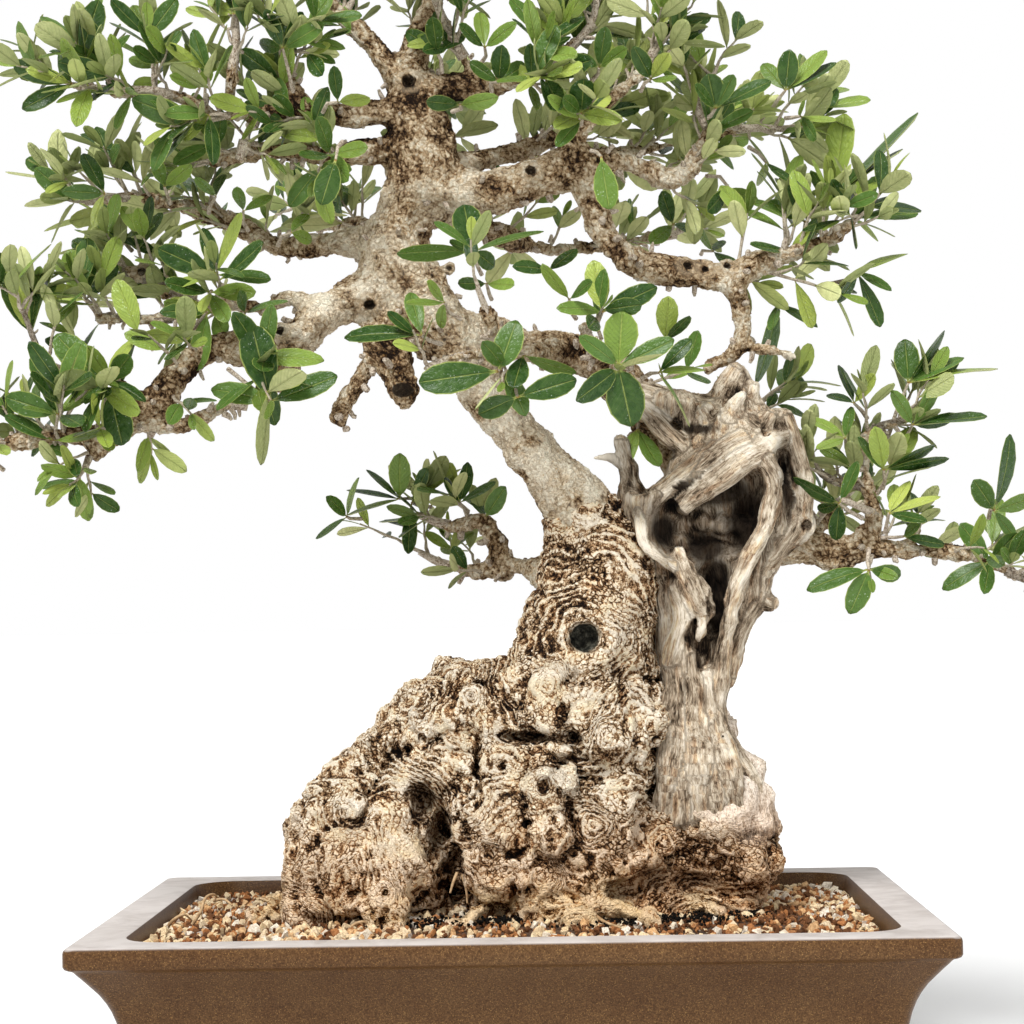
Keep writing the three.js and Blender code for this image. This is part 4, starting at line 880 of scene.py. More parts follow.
def make_burr():
    field = burr_field()
    centres = []
    for x, z, radius, depth, side in KNOTS:
        y = field.face(x, z, side)
        centre = np.array([x, y, z], float)
        field.add([x, y - side * 1.5, z, radius, radius * 0.5, radius], 5.0)
        if depth:
            field.hollow([x, y + side * radius * 0.4, z, radius * 0.34, depth, radius * 0.42], 1.5)
        if bared(x, y, z) < 0.2:
            centres.append((centre + [0, side * radius * 0.45, 0], radius))
    x, z, radius = EYE_HOLE
    y = field.face(x, z)
    field.add([x, y + 4, z, radius * 1.5, 6, radius * 1.45], 6.0)
    field.hollow([x, y - 2, z, radius * 0.95, 15, radius * 0.9], 2.0)
    field.add([x - 0.5, y + 13, z - 0.5, radius * 0.85, 6, radius * 0.8], 1.0)
    # the rough bark ends in a ragged collar where the smooth trunk leaves it
    gx, _, gz = field.whole()
    collar = (gz - 197) * 0.85 - (gx - 28) * 0.35 + 5 * field.noise(10, 8) + 2.5 * field.noise(4, 9)
    field.d = np.maximum(field.d, collar.astype(np.float32))
    field.d = np.maximum(field.d, np.broadcast_to(SOIL_CUT - 2 - gz, field.shape))
    points, quads = field.skin()
    normals = point_normals(points, quads)
    phase = field.sample(PHASE_TURNS * field.noise(27, 12) + field.noise(10, 13), points)
    phase += np.linalg.norm(points - [x, y, z], axis=1) / 6.0
    knotty = knot_rings(points, normals, centres, phase)
    cream = reaches(points, CREAM_PATCHES)
    for route in MORE_ROOTS + [LIMBS[name] for name in SURFACE_ROOTS]:
        cream = np.maximum(cream, around(points, smooth_route(route), 2.1))
    eye = np.hypot(points[:, 0] - x, points[:, 2] - z) / radius
    eye = np.clip((0.92 - eye) / 0.16, 0, 1) * (points[:, 1] < y + 10)
    mesh = mesh_from("burr", plant(points), quads, {
        "phase": phase, "knot": knotty, "eye": eye,
        "cave": within(points.T, BURR_HOLLOWS + BURR_CAVES, 0.6, 3), "cream": cream,
        "bare": bared(*points.T), "hidden": field.hidden(points, normals, 6.0),
        "crest": field.crest(points, normals, 5.0)})
    return link("burr", mesh), field


def point_normals(points, quads):
    """The mean outward direction of the faces round each point."""
    a, b, c, d = (points[quads[:, k]] for k in range(4))
    face = np.cross(c - a, d - b)
    total = np.zeros_like(points)
    for k in range(4):
        np.add.at(total, quads[:, k], face)
    return total / np.maximum(np.linalg.norm(total, axis=1), 1e-9)[:, None]


# ------------------------------------------------------------------ relief of bark and old wood

GRAIN_STRETCH = 0.13  # of the pattern along the grain
# What each wood sets on the relief tree, in millimetres.
BURR_RELIEF = {"Lump size": 8.0, "Lump height": 0.8, "Flake size": 4.2, "Flake height": 0.9,
               "Ridge height": 0.5}
DEADWOOD_RELIEF = {"Lump size": 7.0, "Lump height": 1.0, "Flake size": 5.0, "Flake height": 0.6,
                   "Swirl": 8.0, "Stretch": (1.0, 1.0, GRAIN_STRETCH)}
LIMB_RELIEF = {"Lump size": 6.0, "Lump height": 1.3, "Flake size": 3.0, "Flake height": 0.7, "Swirl": 6.0}


def relief_tree():
    """Bark that is broken into flakes, on a pattern that swirls, with rings where the piece has knots."""
    tree, inp, out = geometry_tree("bark_relief", {
        "Lump size": 9.0, "Lump height": 1.2, "Flake size": 4.5, "Flake height": 1.3, "Swirl": 10.0,
        "Stretch": (1.0, 1.0, 1.0), "Ridge height": 0.0, "Material": "NodeSocketMaterial"})
    in_mm = vector_maths("SCALE", node(tree, "GeometryNodeInputPosition")[0], Scale=1000.0)
    warp = node(tree, "ShaderNodeTexNoise", {"Vector": in_mm, "Scale": 0.035, "Detail": 1.0})
    centred = vector_maths("SUBTRACT", warp["Color"], (0.5, 0.5, 0.5))
    swirled = vector_maths("ADD", in_mm, vector_maths("SCALE", centred, Scale=inp["Swirl"]))
    swirled = vector_maths("MULTIPLY", swirled, inp["Stretch"])
    along_grain = vector_maths("ADD", read(tree, "grain", "FLOAT_VECTOR"), centred)
    swirled = node(tree, "ShaderNodeMix", {0: read(tree, "grained"), 4: swirled, 5: along_grain},
                   data_type="VECTOR")[1]
    lump = noise(swirled, 1.0 / inp["Lump size"], 3.0, 0.6)
    fine_warp = node(tree, "ShaderNodeTexNoise", {"Vector": swirled, "Scale": 0.35, "Detail": 2.0})
    fine = vector_maths("SUBTRACT", fine_warp["Color"], (0.5, 0.5, 0.5))
    flaky = vector_maths("ADD", swirled, vector_maths("SCALE", fine, Scale=4.0))
    crack = edge_cells(flaky, 1.0 / inp["Flake size"])
    flake = node(tree, "ShaderNodeMapRange", {"Value": crack, "From Min": 0.0, "From Max": 0.22},
                 interpolation_type="SMOOTHSTEP")["Result"]
    lumps = (lump - 0.5) * inp["Lump height"]
    flakes = (flake - 0.7) * inp["Flake height"] * (1.0 - read(tree, "knot") * 0.7)
    ridges = maths("COSINE", read(tree, "phase") * (2 * math.pi)) * inp["Ridge height"]
    still = maths("MAXIMUM", read(tree, "cave") * 0.4, read(tree, "eye"))
    still = maths("MAXIMUM", still, read(tree, "bare") * 0.75)
    height = (lumps * 2.0 + flakes + ridges) * (1.0 - still * 0.9)
    offset = vector_maths("SCALE", node(tree, "GeometryNodeInputNormal")[0], Scale=height * MM)
    mesh = stored(tree, inp["Mesh"], "relief", 0.62 + height * 0.34)
    mesh = stored(tree, mesh, "swirl", swirled, "FLOAT_VECTOR")
    mesh = node(tree, "GeometryNodeSetPosition", {"Geometry": mesh, "Offset": offset})["Geometry"]
    mesh = node(tree, "GeometryNodeSetShadeSmooth", {"Geometry": mesh})["Geometry"]
    finished(tree, mesh, inp["Material"], out)
    return tree


# ------------------------------------------------------------------ materials

def material(name, build):
    made = bpy.data.materials.new(name)
    made.use_nodes = True
    build(made.node_tree, Node(made.node_tree.nodes["Principled BSDF"]))
    return made


def ramp(value, stops, mode="LINEAR"):
    made = node(value.tree, "ShaderNodeValToRGB", {"Fac": value})
    colors = made.plain.color_ramp
    colors.interpolation = mode
    while len(colors.elements) < len(stops):
        colors.elements.new(0.5)
    for element, (at, color) in zip(colors.elements, stops):
        element.position = at
        element.color = (*color, 1.0)
    return made["Color"]


def mix(share, a, b, blend="MIX"):
    return node(tree_of((share, a, b)), "ShaderNodeMix", {0: share, 6: a, 7: b}, data_type="RGBA",
                blend_type=blend)[2]


def between(value, low, high, to_low=0.0, to_high=1.0):
    """A value from low to high, drawn out or turned round to the other two and held there."""
    return node(value.tree, "ShaderNodeMapRange", {"Value": value, "From Min": low, "From Max": high,
                                                   "To Min": to_low, "To Max": to_high})["Result"]


def noise(place, scale, detail=3.0, rough=0.6, distortion=0.0):
    return node(place.tree, "ShaderNodeTexNoise", {"Vector": place, "Scale": scale, "Detail": detail,
                                                   "Roughness": rough, "Distortion": distortion})["Fac"]


def edge_cells(place, scale):
    """Cells as of flaked bark: how far each place lies from the nearest edge."""
    return node(place.tree, "ShaderNodeTexVoronoi", {"Vector": place, "Scale": scale},
                feature="DISTANCE_TO_EDGE")["Distance"]


def attribute(tree, key, output="Fac"):
    return node(tree, "ShaderNodeAttribute", attribute_name=key)[output]


def object_place(tree):
    return node(tree, "ShaderNodeTexCoord")["Object"]


def place_in_mm(tree):
    return vector_maths("SCALE", object_place(tree), Scale=1000.0)


def axis_of(vector, axis):
    return node(vector.tree, "ShaderNodeSeparateXYZ", {"Vector": vector})[axis]


def bump(height, distance, strength=1.0):
    return node(height.tree, "ShaderNodeBump", {"Height": height, "Distance": distance,
                                                "Strength": strength})["Normal"]


def crumb_group():
    """Fine broken texture: a height with hairline cracks and crumbs, and slow changes of tone."""
    tree, inp, out = group_tree("fine_crumb", {"Place": (0, 0, 0), "Size": 2.0}, ["Height", "Tone"])
    scale, place = 1.0 / inp["Size"], inp["Place"]
    grit = noise(place, scale, 4.0, 0.65, 0.6)
    veins = noise(place, scale * 0.5, 3.0, 0.6, 1.2)
    crack = between(maths("ABSOLUTE", veins - 0.5), 0.0, 0.05)
    out["Height"] = grit + crack * 0.5
    out["Tone"] = noise(place, scale * 0.11, 2.0, 0.5)
    return tree


def use_group(group, **values):
    return node(tree_of(values.values()), "ShaderNodeGroup", values, node_tree=group)


CRUMB = crumb_group()


def line_group():
    """Broken lines that follow the phase: 0 in their cracks, up to 1 on the plates between them."""
    tree, inp, out = group_tree("bark_lines", {"Place": (0, 0, 0), "Phase": 0.0, "Lines": 1.0,
                                               "Wobble": 1.0, "Scale": 0.5}, ["Plate"])
    wobble = noise(inp["Place"], inp["Scale"], 3.0, 0.65) - 0.5
    turns = inp["Phase"] * inp["Lines"] + wobble * inp["Wobble"]
    wave = maths("COSINE", turns * (2 * math.pi))
    out["Plate"] = 0.5 + wave * 0.5
    return tree


LINES = line_group()


def burr_bark(tree, shader):
    swirl = attribute(tree, "swirl", "Vector")
    relief = attribute(tree, "relief")
    phase = attribute(tree, "phase")
    cream, bare = attribute(tree, "cream"), attribute(tree, "bare")
    crumb = use_group(CRUMB, Place=swirl, Size=1.3)
    broad = use_group(LINES, Place=swirl, Phase=phase, Lines=1.0, Wobble=2.2, Scale=0.30)["Plate"]
    thin = use_group(LINES, Place=swirl, Phase=phase, Lines=2.0, Wobble=2.6, Scale=0.55)["Plate"]
    flake = between(edge_cells(swirl, 0.42), 0.0, 0.20)
    region = between(noise(swirl, 0.06, 2.0, 0.5), 0.44, 0.56)
    plate = broad * 0.55 + thin * 0.45
    flaky = flake * 0.6 + thin * 0.35
    pattern = node(tree, "ShaderNodeMix", {"Factor": region, "A": plate, "B": flaky})["Result"]
    height = pattern * 0.46 + relief * 0.44 + crumb["Height"] * 0.26
    patch = noise(swirl, 0.085, 3.0, 0.6)
    tone = height + between(patch, 0.30, 0.70, -0.12, 0.13)
    tone += cream * 0.12
    # Painted highlight: paler on thin ridges.
    tone += between(attribute(tree, "crest"), 0.1, 0.7, 0.0, 0.12)
    # Painted shade: darker where other wood is close, in recesses and creases.
    tone -= between(attribute(tree, "hidden"), 0.15, 0.85, 0.0, 0.25)
    up = axis_of(object_place(tree), "Z")
    tone -= between(up, RIM_Z + 0.108, RIM_Z + 0.140, 0.0, 0.09)
    tone += between(up, RIM_Z + 0.060, RIM_Z + 0.020, 0.0, 0.035)
    bark = ramp(tone,
                [(0.40, (0.007, 0.004, 0.003)), (0.52, (0.078, 0.038, 0.017)), (0.62, (0.30, 0.172, 0.082)),
                 (0.72, (0.66, 0.480, 0.29)), (0.83, (0.98, 0.86, 0.69))])
    warm = between(crumb["Tone"], 0.45, 0.68)
    bark = mix(warm * 0.45, bark, (0.44, 0.26, 0.13), "OVERLAY")
    streak = noise(vector_maths("MULTIPLY", swirl, (1.0, 1.0, 0.2)), 0.8, 4.0, 0.7, 0.4)
    grain = streak * 0.75 + thin * 0.08
    grain += crumb["Height"] * 0.10
    # Painted shade on the bared flank too: darker in recesses.
    grain -= between(attribute(tree, "hidden"), 0.15, 0.8, 0.0, 0.12)
    # Painted highlight on thin ridges of the bared flank.
    grain += between(attribute(tree, "crest"), 0.1, 0.7, 0.0, 0.08)
    grey = ramp(grain + relief * 0.18,
                [(0.37, (0.050, 0.030, 0.018)), (0.46, (0.29, 0.205, 0.140)), (0.55, (0.62, 0.50, 0.385)),
                 (0.67, (0.95, 0.84, 0.72))])
    bark = mix(bare * 0.92, bark, grey)
    damp = between(up, RIM_Z + 0.058, RIM_Z + 0.010)
    damp *= 1.0 - cream * 0.85
    across = axis_of(object_place(tree), "X")
    damp *= between(across, -0.03, 0.04, 0.36, 0.58)
    bark = mix(damp, bark, (0.90, 0.54, 0.27), "MULTIPLY")
    rooty = cream * between(up, RIM_Z + 0.045, RIM_Z + 0.020)
    bark = mix(rooty * 0.8, bark, (1.0, 0.84, 0.60), "MULTIPLY")
    # Painted shade: the clefts, small caves and the undercut above the soil are darkened towards near black.
    cave = attribute(tree, "cave")
    bark = mix(cave * 0.78, bark, (0.07, 0.04, 0.022), "MULTIPLY")
    rough = noise(object_place(tree), 330.0, 4.0, 0.7)
    plug = ramp(rough,
                [(0.36, (0.008, 0.008, 0.007)), (0.50, (0.045, 0.045, 0.036)),
                 (0.66, (0.20, 0.195, 0.155))])
    bark = mix(attribute(tree, "eye"), bark, plug)
    shader["Base Color"] = bark
    shader["Roughness"] = 0.88
    shader["Specular IOR Level"] = 0.1
    rise = pattern * 0.8 + crumb["Height"] * 0.5
    rise *= 1.0 - bare * 0.6
    shader["Normal"] = bump(rise, 0.0014, 1.0)


def limb_bark(tree, shader):
    swirl = attribute(tree, "swirl", "Vector")
    relief = attribute(tree, "relief")
    pale, dark = attribute(tree, "pale"), attribute(tree, "dark")
    hidden = between(attribute(tree, "hidden"), 0.08, 0.7)
    crumb = use_group(CRUMB, Place=swirl, Size=1.2)
    fine = noise(swirl, 0.36, 5.0, 0.68, 0.5)
    cluster = noise(swirl, 0.055, 3.0, 0.6)
    tone = fine * 0.80 + relief * 0.30
    tone += between(crumb["Height"], 0.3, 0.9, -0.03, 0.05)
    plate = between(edge_cells(swirl, 0.34), 0.0, 0.22)
    tone += plate * 0.10
    tone += between(cluster, 0.38, 0.62, -0.11, 0.11)
    tone += pale * 0.09
    # Painted highlight: paler on thin ridges.
    tone += between(attribute(tree, "crest"), 0.1, 0.8, -0.02, 0.08)
    # Darker bark near the forks, partly a painted shadow in a fork.
    tone -= dark * 0.105
    # Painted shade: darker in recesses.
    tone -= hidden * 0.11
    bark = ramp(tone,
                [(0.44, (0.018, 0.009, 0.005)), (0.53, (0.165, 0.092, 0.043)), (0.61, (0.44, 0.30, 0.165)),
                 (0.70, (0.72, 0.56, 0.365)), (0.83, (0.95, 0.86, 0.68))])
    smooth_bark = ramp(crumb["Tone"] * 0.6 + crumb["Height"] * 0.3,
                       [(0.34, (0.42, 0.30, 0.18)), (0.48, (0.72, 0.60, 0.43)), (0.62, (0.92, 0.83, 0.66)),
                        (0.74, (0.76, 0.75, 0.59))])
    clear = between(pale - dark * 1.2, 0.0, 1.0, 0.0, 0.78)
    clear *= between(cluster, 0.40, 0.56)
    bark = mix(clear, bark, smooth_bark)
    rust = between(noise(swirl, 0.9, 2.0, 0.5), 0.64, 0.72)
    bark = mix(rust * 0.6, bark, (0.50, 0.25, 0.07))
    bark = mix(attribute(tree, "lip") * 0.6, bark, (0.62, 0.47, 0.30))
    # Near black in the pruning holes, as painted shade, and on the black end of the cut stub.
    scar = attribute(tree, "scar") + fine * 0.5
    bark = mix(between(scar, 0.70, 1.0, 0.0, 0.95), bark, (0.026, 0.017, 0.011))
    shader["Base Color"] = bark
    shader["Roughness"] = 0.85
    shader["Specular IOR Level"] = 0.12
    height = fine + crumb["Height"] * 0.5
    height *= 1.0 - clear * 0.8
    shader["Normal"] = bump(height + plate * 0.3, 0.0024, 1.0)


def old_wood(tree, shader):
    swirl = attribute(tree, "swirl", "Vector")
    relief = attribute(tree, "relief")
    streak = noise(swirl, 0.9, 5.0, 0.7, 0.5)
    fine = noise(swirl, 2.6, 3.0, 0.6, 0.3)
    tone = noise(object_place(tree), 45.0, 4.0, 0.65)
    height = relief * 0.34 + streak * 0.62 + fine * 0.30
    # Painted highlight: paler on thin ridges.
    height += between(attribute(tree, "crest"), 0.15, 0.75, 0.0, 0.14)
    # Painted shade: darker in recesses.
    height -= between(attribute(tree, "hidden"), 0.15, 0.8, 0.0, 0.22)
    height += between(tone, 0.3, 0.7, -0.11, 0.09)
    up = axis_of(object_place(tree), "Z")
    height += between(up, RIM_Z + 0.10, RIM_Z + 0.16, 0.02, 0.055)
    height += between(up, RIM_Z + 0.085, RIM_Z + 0.050, 0.0, 0.05)
    wood = ramp(height,
                [(0.48, (0.010, 0.006, 0.004)), (0.57, (0.10, 0.070, 0.044)), (0.65, (0.33, 0.25, 0.17)),
                 (0.73, (0.60, 0.50, 0.37)), (0.86, (0.93, 0.84, 0.70))])
    brown = between(noise(swirl, 0.25, 3.0, 0.6), 0.50, 0.66)
    wood = mix(brown * 0.5, wood, (0.40, 0.25, 0.135), "OVERLAY")
    # Painted shade: the wood in the deep hollows is darkened.
    cave = attribute(tree, "cave")
    wood = mix(cave * 0.55, wood, (0.22, 0.175, 0.14), "MULTIPLY")
    # Black in the hollows and gaps, as rot and painted shade, and darker weathered wood outside.
    wood = mix(attribute(tree, "black") * 0.97, wood, (0.045, 0.035, 0.028), "MULTIPLY")
    shader["Base Color"] = wood
    shader["Roughness"] = 0.85
    shader["Specular IOR Level"] = 0.12
    grain = streak + fine * 0.6
    shader["Normal"] = bump(grain, 0.0014, 0.9)


# ------------------------------------------------------------------ deadwood

DEADWOOD_STEP = 1.15
# Rolled rims, planks and ropes of old wood, as routes of [x, y, z, radius].
DEADWOOD_ROPES = [
    [[60.7, -19, 195, 2.8], [58.8, -22, 189, 2.6], [61.4, -25, 178, 2.4], [69, -27, 171.5, 2.6],
     [76, -27, 167, 3.0]],  # thin left rim
    [[60.7, -18, 195, 3], [70, -21, 204, 3.4], [81, -21, 212.5, 4], [94, -19, 222, 4.6], [102, -17, 228, 5]],
    [[81, -20, 198, 4.6], [90, -23, 205, 6], [98, -23, 211, 6.6], [107, -24, 218, 6.6],
     [116, -22, 223, 6], [124, -19, 229, 4.5], [131, -13, 232, 3]],  # roll over the hollow
    [[76, -17, 204, 3.5], [88, -20, 213, 5.5], [100, -21, 222, 6.5], [112, -20, 229, 6]],
    # splinters of the cap
    [[120, -12, 236, 5], [124, -13, 243, 3.4]], [[96, -10, 240, 5], [91, -11, 246, 3.2]],
    [[104, -13, 238, 5], [106, -15, 247, 3.6], [110, -14, 252, 2.4]],
    [[118, -21, 223, 5.4], [125, -24, 209, 4.8], [122.5, -26, 195, 4.4], [118.5, -27, 184, 4.4],
     [113, -27, 174, 4.4], [109, -26, 164.5, 4.4], [105, -25, 153, 4.2], [102, -24, 140, 4.0],
     [100, -22, 126, 3.6], [98, -20, 106, 3.4], [97, -19, 88, 4.0]],  # right rope
    [[78, -22, 175, 3.4], [81, -25, 165, 5], [84, -25, 156, 6.4], [88, -24, 149, 6.4], [92, -25, 145, 4.6],
     [90, -25, 139, 2.8], [88, -24, 133, 1.6]],  # pale plank
    [[86, -25, 160, 3.6], [93, -26, 153, 3.6], [95.5, -26, 147, 2.8]],
    [[77, -23, 158, 3.4], [80, -24, 146, 3.6], [77, -22, 132, 3.4], [74, -20, 120, 3.6]],
    [[132, -7, 241, 5], [138, -9, 222, 5.2], [140, -11, 211, 5.4], [140, -11, 200, 5.4], [138, -10, 190, 5],
     [128, -12, 177, 4.8], [120, -14, 167, 4.4], [117, -14, 156, 4], [112, -14, 144, 3.6],
     [107, -14, 130, 3.4], [103, -14, 114, 3.2]],  # outer wall
    [[75, -18, 124, 3.6], [76, -20, 110, 4.6], [75, -22, 96, 6], [75, -24, 82, 7.5], [72, -31, 66, 6],
     [70, -28, 50, 5]],
    [[84, -19, 124, 3.2], [86, -21, 108, 4.2], [86, -23, 92, 6], [87, -24, 80, 8], [87, -31, 66, 7],
     [88, -29, 47, 6]],
    [[92, -19, 116, 2.8], [94, -20, 103, 3.6], [95, -21, 90, 6], [98, -22, 78, 8], [102, -29, 64, 7],
     [106, -25, 45, 6]],
    [[99, -14, 98, 3], [99, -15, 86, 5.0], [105, -14, 74, 6.5], [114, -19, 60, 6], [121, -12, 43, 5]],
    # lower flutes
    [[92, -26, 76, 5], [95, -32, 58, 5], [97, -29, 42, 5]],
    [[80, -27, 74, 5], [79, -32, 60, 5], [79, -29, 45, 5]],
    [[101, 4, 246, 8], [104, -2, 258, 6.4], [108, -3, 265, 5]],  # broken stub
    [[112, 2, 240, 6], [116, -3, 250, 4.4], [117, -4, 257, 2.6]],
    [[121, -4, 232, 5.5], [126, -7, 241, 3.6], [127, -8, 245, 1.6]],
    [[128, -4, 228, 5], [131, -6, 238, 3], [131, -6, 241, 1.6]],
    [[60, 2, 256, 4], [80, 0, 250, 4.6], [104, -6, 243, 5.6], [118, -14, 234, 5]],  # pale ridge above
    [[60, 0, 249, 4], [72, -4, 236, 5], [84, -10, 224, 5]],
    [[58, -2, 198, 6], [54, -3, 217, 4.2], [50, -3, 230, 2.2]],  # hooked spike
    [[54, -3, 216, 3], [45, -4, 222, 1.8], [38, -5, 222, 1.3]],
    [[119, -12, 152, 3], [124, -13, 149.5, 3.8]],  # nub
    # ribs at the back
    [[60, 20, 190, 6], [66, 26, 160, 6], [76, 28, 130, 6], [84, 26, 96, 6], [86, 16, 66, 8]],
    [[108, 24, 200, 7], [104, 28, 160, 7], [98, 28, 120, 6], [96, 22, 90, 6], [96, 14, 64, 8]],
    [[130, 10, 200, 6], [122, 14, 172, 5], [108, 14, 142, 5], [100, 10, 116, 4.5], [95, 6, 98, 5]],
]
# Air that the wood doesn't reach: between the spike and the shell, and along the right side.
DEADWOOD_AIR = [
    [66, 0, 221, 9, 60, 12], [60, 0, 212, 7, 60, 9], [76, 0, 231, 8, 60, 8], [68, 0, 236, 10, 60, 8],
    [140, 0, 150, 16, 60, 21], [128, 0, 124, 15, 60, 23], [118, 0, 100, 15, 60, 20],
]
DEADWOOD_CUTS = [
    [[57, -22, 204, 2.4], [58, -28, 192, 2.8], [69, -30, 167, 3.4], [75, -29, 156, 3.6],
     [75.5, -29, 145, 3.4],
     [75, -28, 137, 3.2], [70, -26, 128, 3], [67.5, -26, 115, 2.8], [66, -28, 100, 2.4]],  # by the live trunk
    [[98.5, -28, 160, 4.2], [97, -28, 148, 4.4], [95.5, -27, 136, 4], [94, -25, 124, 2.6]],  # gully
    [[130.5, -28, 219, 3.6], [133, -27, 207, 4.4], [135, -25, 195, 3.4]],
    [[131, -20, 190, 2], [130, -24, 187, 3.2]],
    [[102, -26, 240, 1.6], [110, -27, 232, 2], [118, -27, 228, 1.6]],
    [[80, -25, 118, 1.6], [80, -28, 100, 1.8], [78, -33, 78, 1.8]],
    [[89, -24, 122, 1.5], [89, -27, 104, 1.8], [89, -32, 80, 1.8]],
    [[96, -24, 108, 1.3], [98, -26, 92, 1.6], [102, -28, 76, 1.6]],
    [[112, -26, 150, 1.6], [116, -24, 162, 2], [121, -22, 178, 2], [126, -22, 190, 1.6]],
    [[106, -24, 130, 1.4], [110, -22, 142, 1.8], [115, -20, 150, 1.4]],
    [[83, -30, 166, 1.3], [87, -32, 158, 1.4], [90, -32, 150, 1.2]],
    [[104, -26, 232, 1.6], [106, -21, 244, 2], [104, -12, 256, 1.6]],
    [[112, -26, 236, 1.4], [113, -18, 248, 1.8]],
    [[92, -24, 226, 1.4], [94, -18, 238, 1.8], [98, -10, 248, 1.4]],
    [[122, -22, 226, 1.4], [121, -18, 238, 1.6]],
    [[86, 30, 190, 3], [88, 32, 150, 3], [90, 30, 110, 2.5]],
    [[118, 24, 205, 3], [112, 26, 170, 2.5], [104, 24, 130, 2]],
]
DEADWOOD_CAVES = [
    [88, -32, 188, 25, 25, 20], [112, -30, 196, 9, 22, 17], [106, -28, 182, 8, 20, 10],
    [98, -26, 146, 4, 12, 14],
]
# Rotten lumps on the back wall of the hollow.
DEADWOOD_LUMPS = [
    [70, -10, 184, 5, 4, 5], [80, -8, 181, 5, 5, 4], [90, -8, 190, 5, 5, 6], [76, -9, 194, 4, 4, 4],
    [97, -8, 176, 4.5, 5, 4.5], [86, -9, 174, 4, 4, 3.5], [100, -9, 188, 4, 4, 5], [110, -8, 188, 4, 5, 5],
]
# Where the wood in the hollows and gaps is black, as rot and painted shade, and where old wood outside has
# gone dark, as x, z, half width and half height.
DEADWOOD_BLACK_AND_SHADE = [[113, 190, 11, 19], [97, 205, 22, 8], [78, 204, 8, 10], [97, 154, 8, 24], [133, 209, 6, 15],
                  [92, 177, 11, 9], [71, 185, 7, 9], [64, 232, 7, 10], [88, 236, 9, 3]]
WEATHERED = [[52, 218, 11, 20], [60, 196, 8, 7], [72, 243, 16, 7], [132, 215, 7, 20], [72, 140, 5, 34]]
RING_KNOB = [141, -8, 188, 6.0]


def grain_places(points, ropes):
    """Places measured along and across the nearest rope, and which points lie on a rope at all."""
    grain, on_rope = np.zeros((len(points), 3)), np.zeros(len(points))
    best = np.full(len(points), 1.6)
    for number, route in enumerate(ropes):
        line = smooth_route(route)
        gone = 0.0
        for a, b in zip(line, line[1:]):
            length = np.linalg.norm(b[:3] - a[:3])
            way = (b[:3] - a[:3]) / max(length, 1e-6)
            offset = points - a[:3]
            along = offset @ way
            off = offset - along[:, None] * way
            away = np.linalg.norm(off, axis=1) - a[3]
            over = np.maximum(np.abs(along - length / 2) - length / 2, 0)
            near = (away + over < best) & (over < 1.5)
            best[near] = (away + over)[near]
            grain[near] = off[near] + way * (GRAIN_STRETCH * (gone + along[near]))[:, None] + 17.0 * number
            on_rope[near] = 1.0
            gone += length
    return grain, on_rope


def make_deadwood():
    field = Field((28, -46, 38), (156, 52, 278), DEADWOOD_STEP)
    field.swellings(DEADWOOD, 5.0)
    for route in DEADWOOD_RIDGES:
        field.tube(route, 4.0)
    field.d += 1.6 * field.noise(15, 21)
    for size in DEADWOOD_HOLLOWS:
        field.hollow(size, 4.0)
    for size in DEADWOOD_CAVES + DEADWOOD_AIR:
        field.hollow(size, 3.0)
    for size in DEADWOOD_LUMPS:
        field.add(size, 3.0)
    for route in DEADWOOD_ROPES:
        field.tube(route, 3.4)
    x, y, z, radius = RING_KNOB
    field.add([x, y, z, radius, radius * 0.8, radius], 3.0)
    field.hollow([x + 1, y - 6, z, 2.4, 6, 3.0], 1.5)
    for route in DEADWOOD_CUTS:
        field.groove(route, 1.2)
    field.d += 0.9 * field.noise(6, 22)
    points, quads = field.skin()
    normals = point_normals(points, quads)
    grain, on_rope = grain_places(points, DEADWOOD_ROPES)
    # Off the ropes, the hollows and gaps are black, as rot and painted shade; weathered wood outside is
    # darker.
    black = np.maximum(reaches(points, DEADWOOD_BLACK_AND_SHADE, 0.35) * (1 - on_rope),
                       0.55 * reaches(points, WEATHERED, 0.5))
    mesh = mesh_from("deadwood", plant(points), quads, {
        "cave": within(points.T, DEADWOOD_CAVES, 0.9, 3) * (1 - on_rope), "black": black,
        "grained": on_rope, "hidden": field.hidden(points, normals, 6.0),
        "crest": field.crest(points, normals, 4.5), "grain": grain})
    return link("deadwood", mesh)


# ------------------------------------------------------------------ limbs

LIMB_STEP = 1.5
TRUNK_CORE = [[38, 1, 170, 16], [33, 1, 186, 17.5]]  # the smooth trunk starts inside the rough bark
LIMB_SWELL = -0.3
LEAST_LIMB = 1.9  # thinner wood than this is left to the twigs
# Rings where limbs were cut off, as x, z and radius on the front of the wood.
PRUNED = [
    [-55, 410, 6.5], [6, 363.5, 5.5], [83.5, 317, 4.2], [92.5, 315.5, 3.6], [103.5, 317.5, 4.0],
    [-189, 316, 4.4], [-117, 283, 4.6], [-35.5, 318, 3.4], [-74, 297, 5.5], [137, 181, 4.5],
]
CUT_END = [-57, 254.5, 5.6, 3.8]  # the black end of the cut stub, in the same way as dark bark
# Smooth pale stretches, as x, y, z and reach.
PALE_STRETCHES = [
    [34, 0, 190, 30], [10, 0, 222, 32], [-8, 0, 244, 30], [-24, 0, 268, 26], [-50, 0, 300, 26],
    [-62, 0, 322, 30], [-58, 0, 350, 28], [-52, 0, 372, 24], [-75, -8, 306, 26], [-100, -18, 288, 24],
    [-20, -4, 357, 20],
]
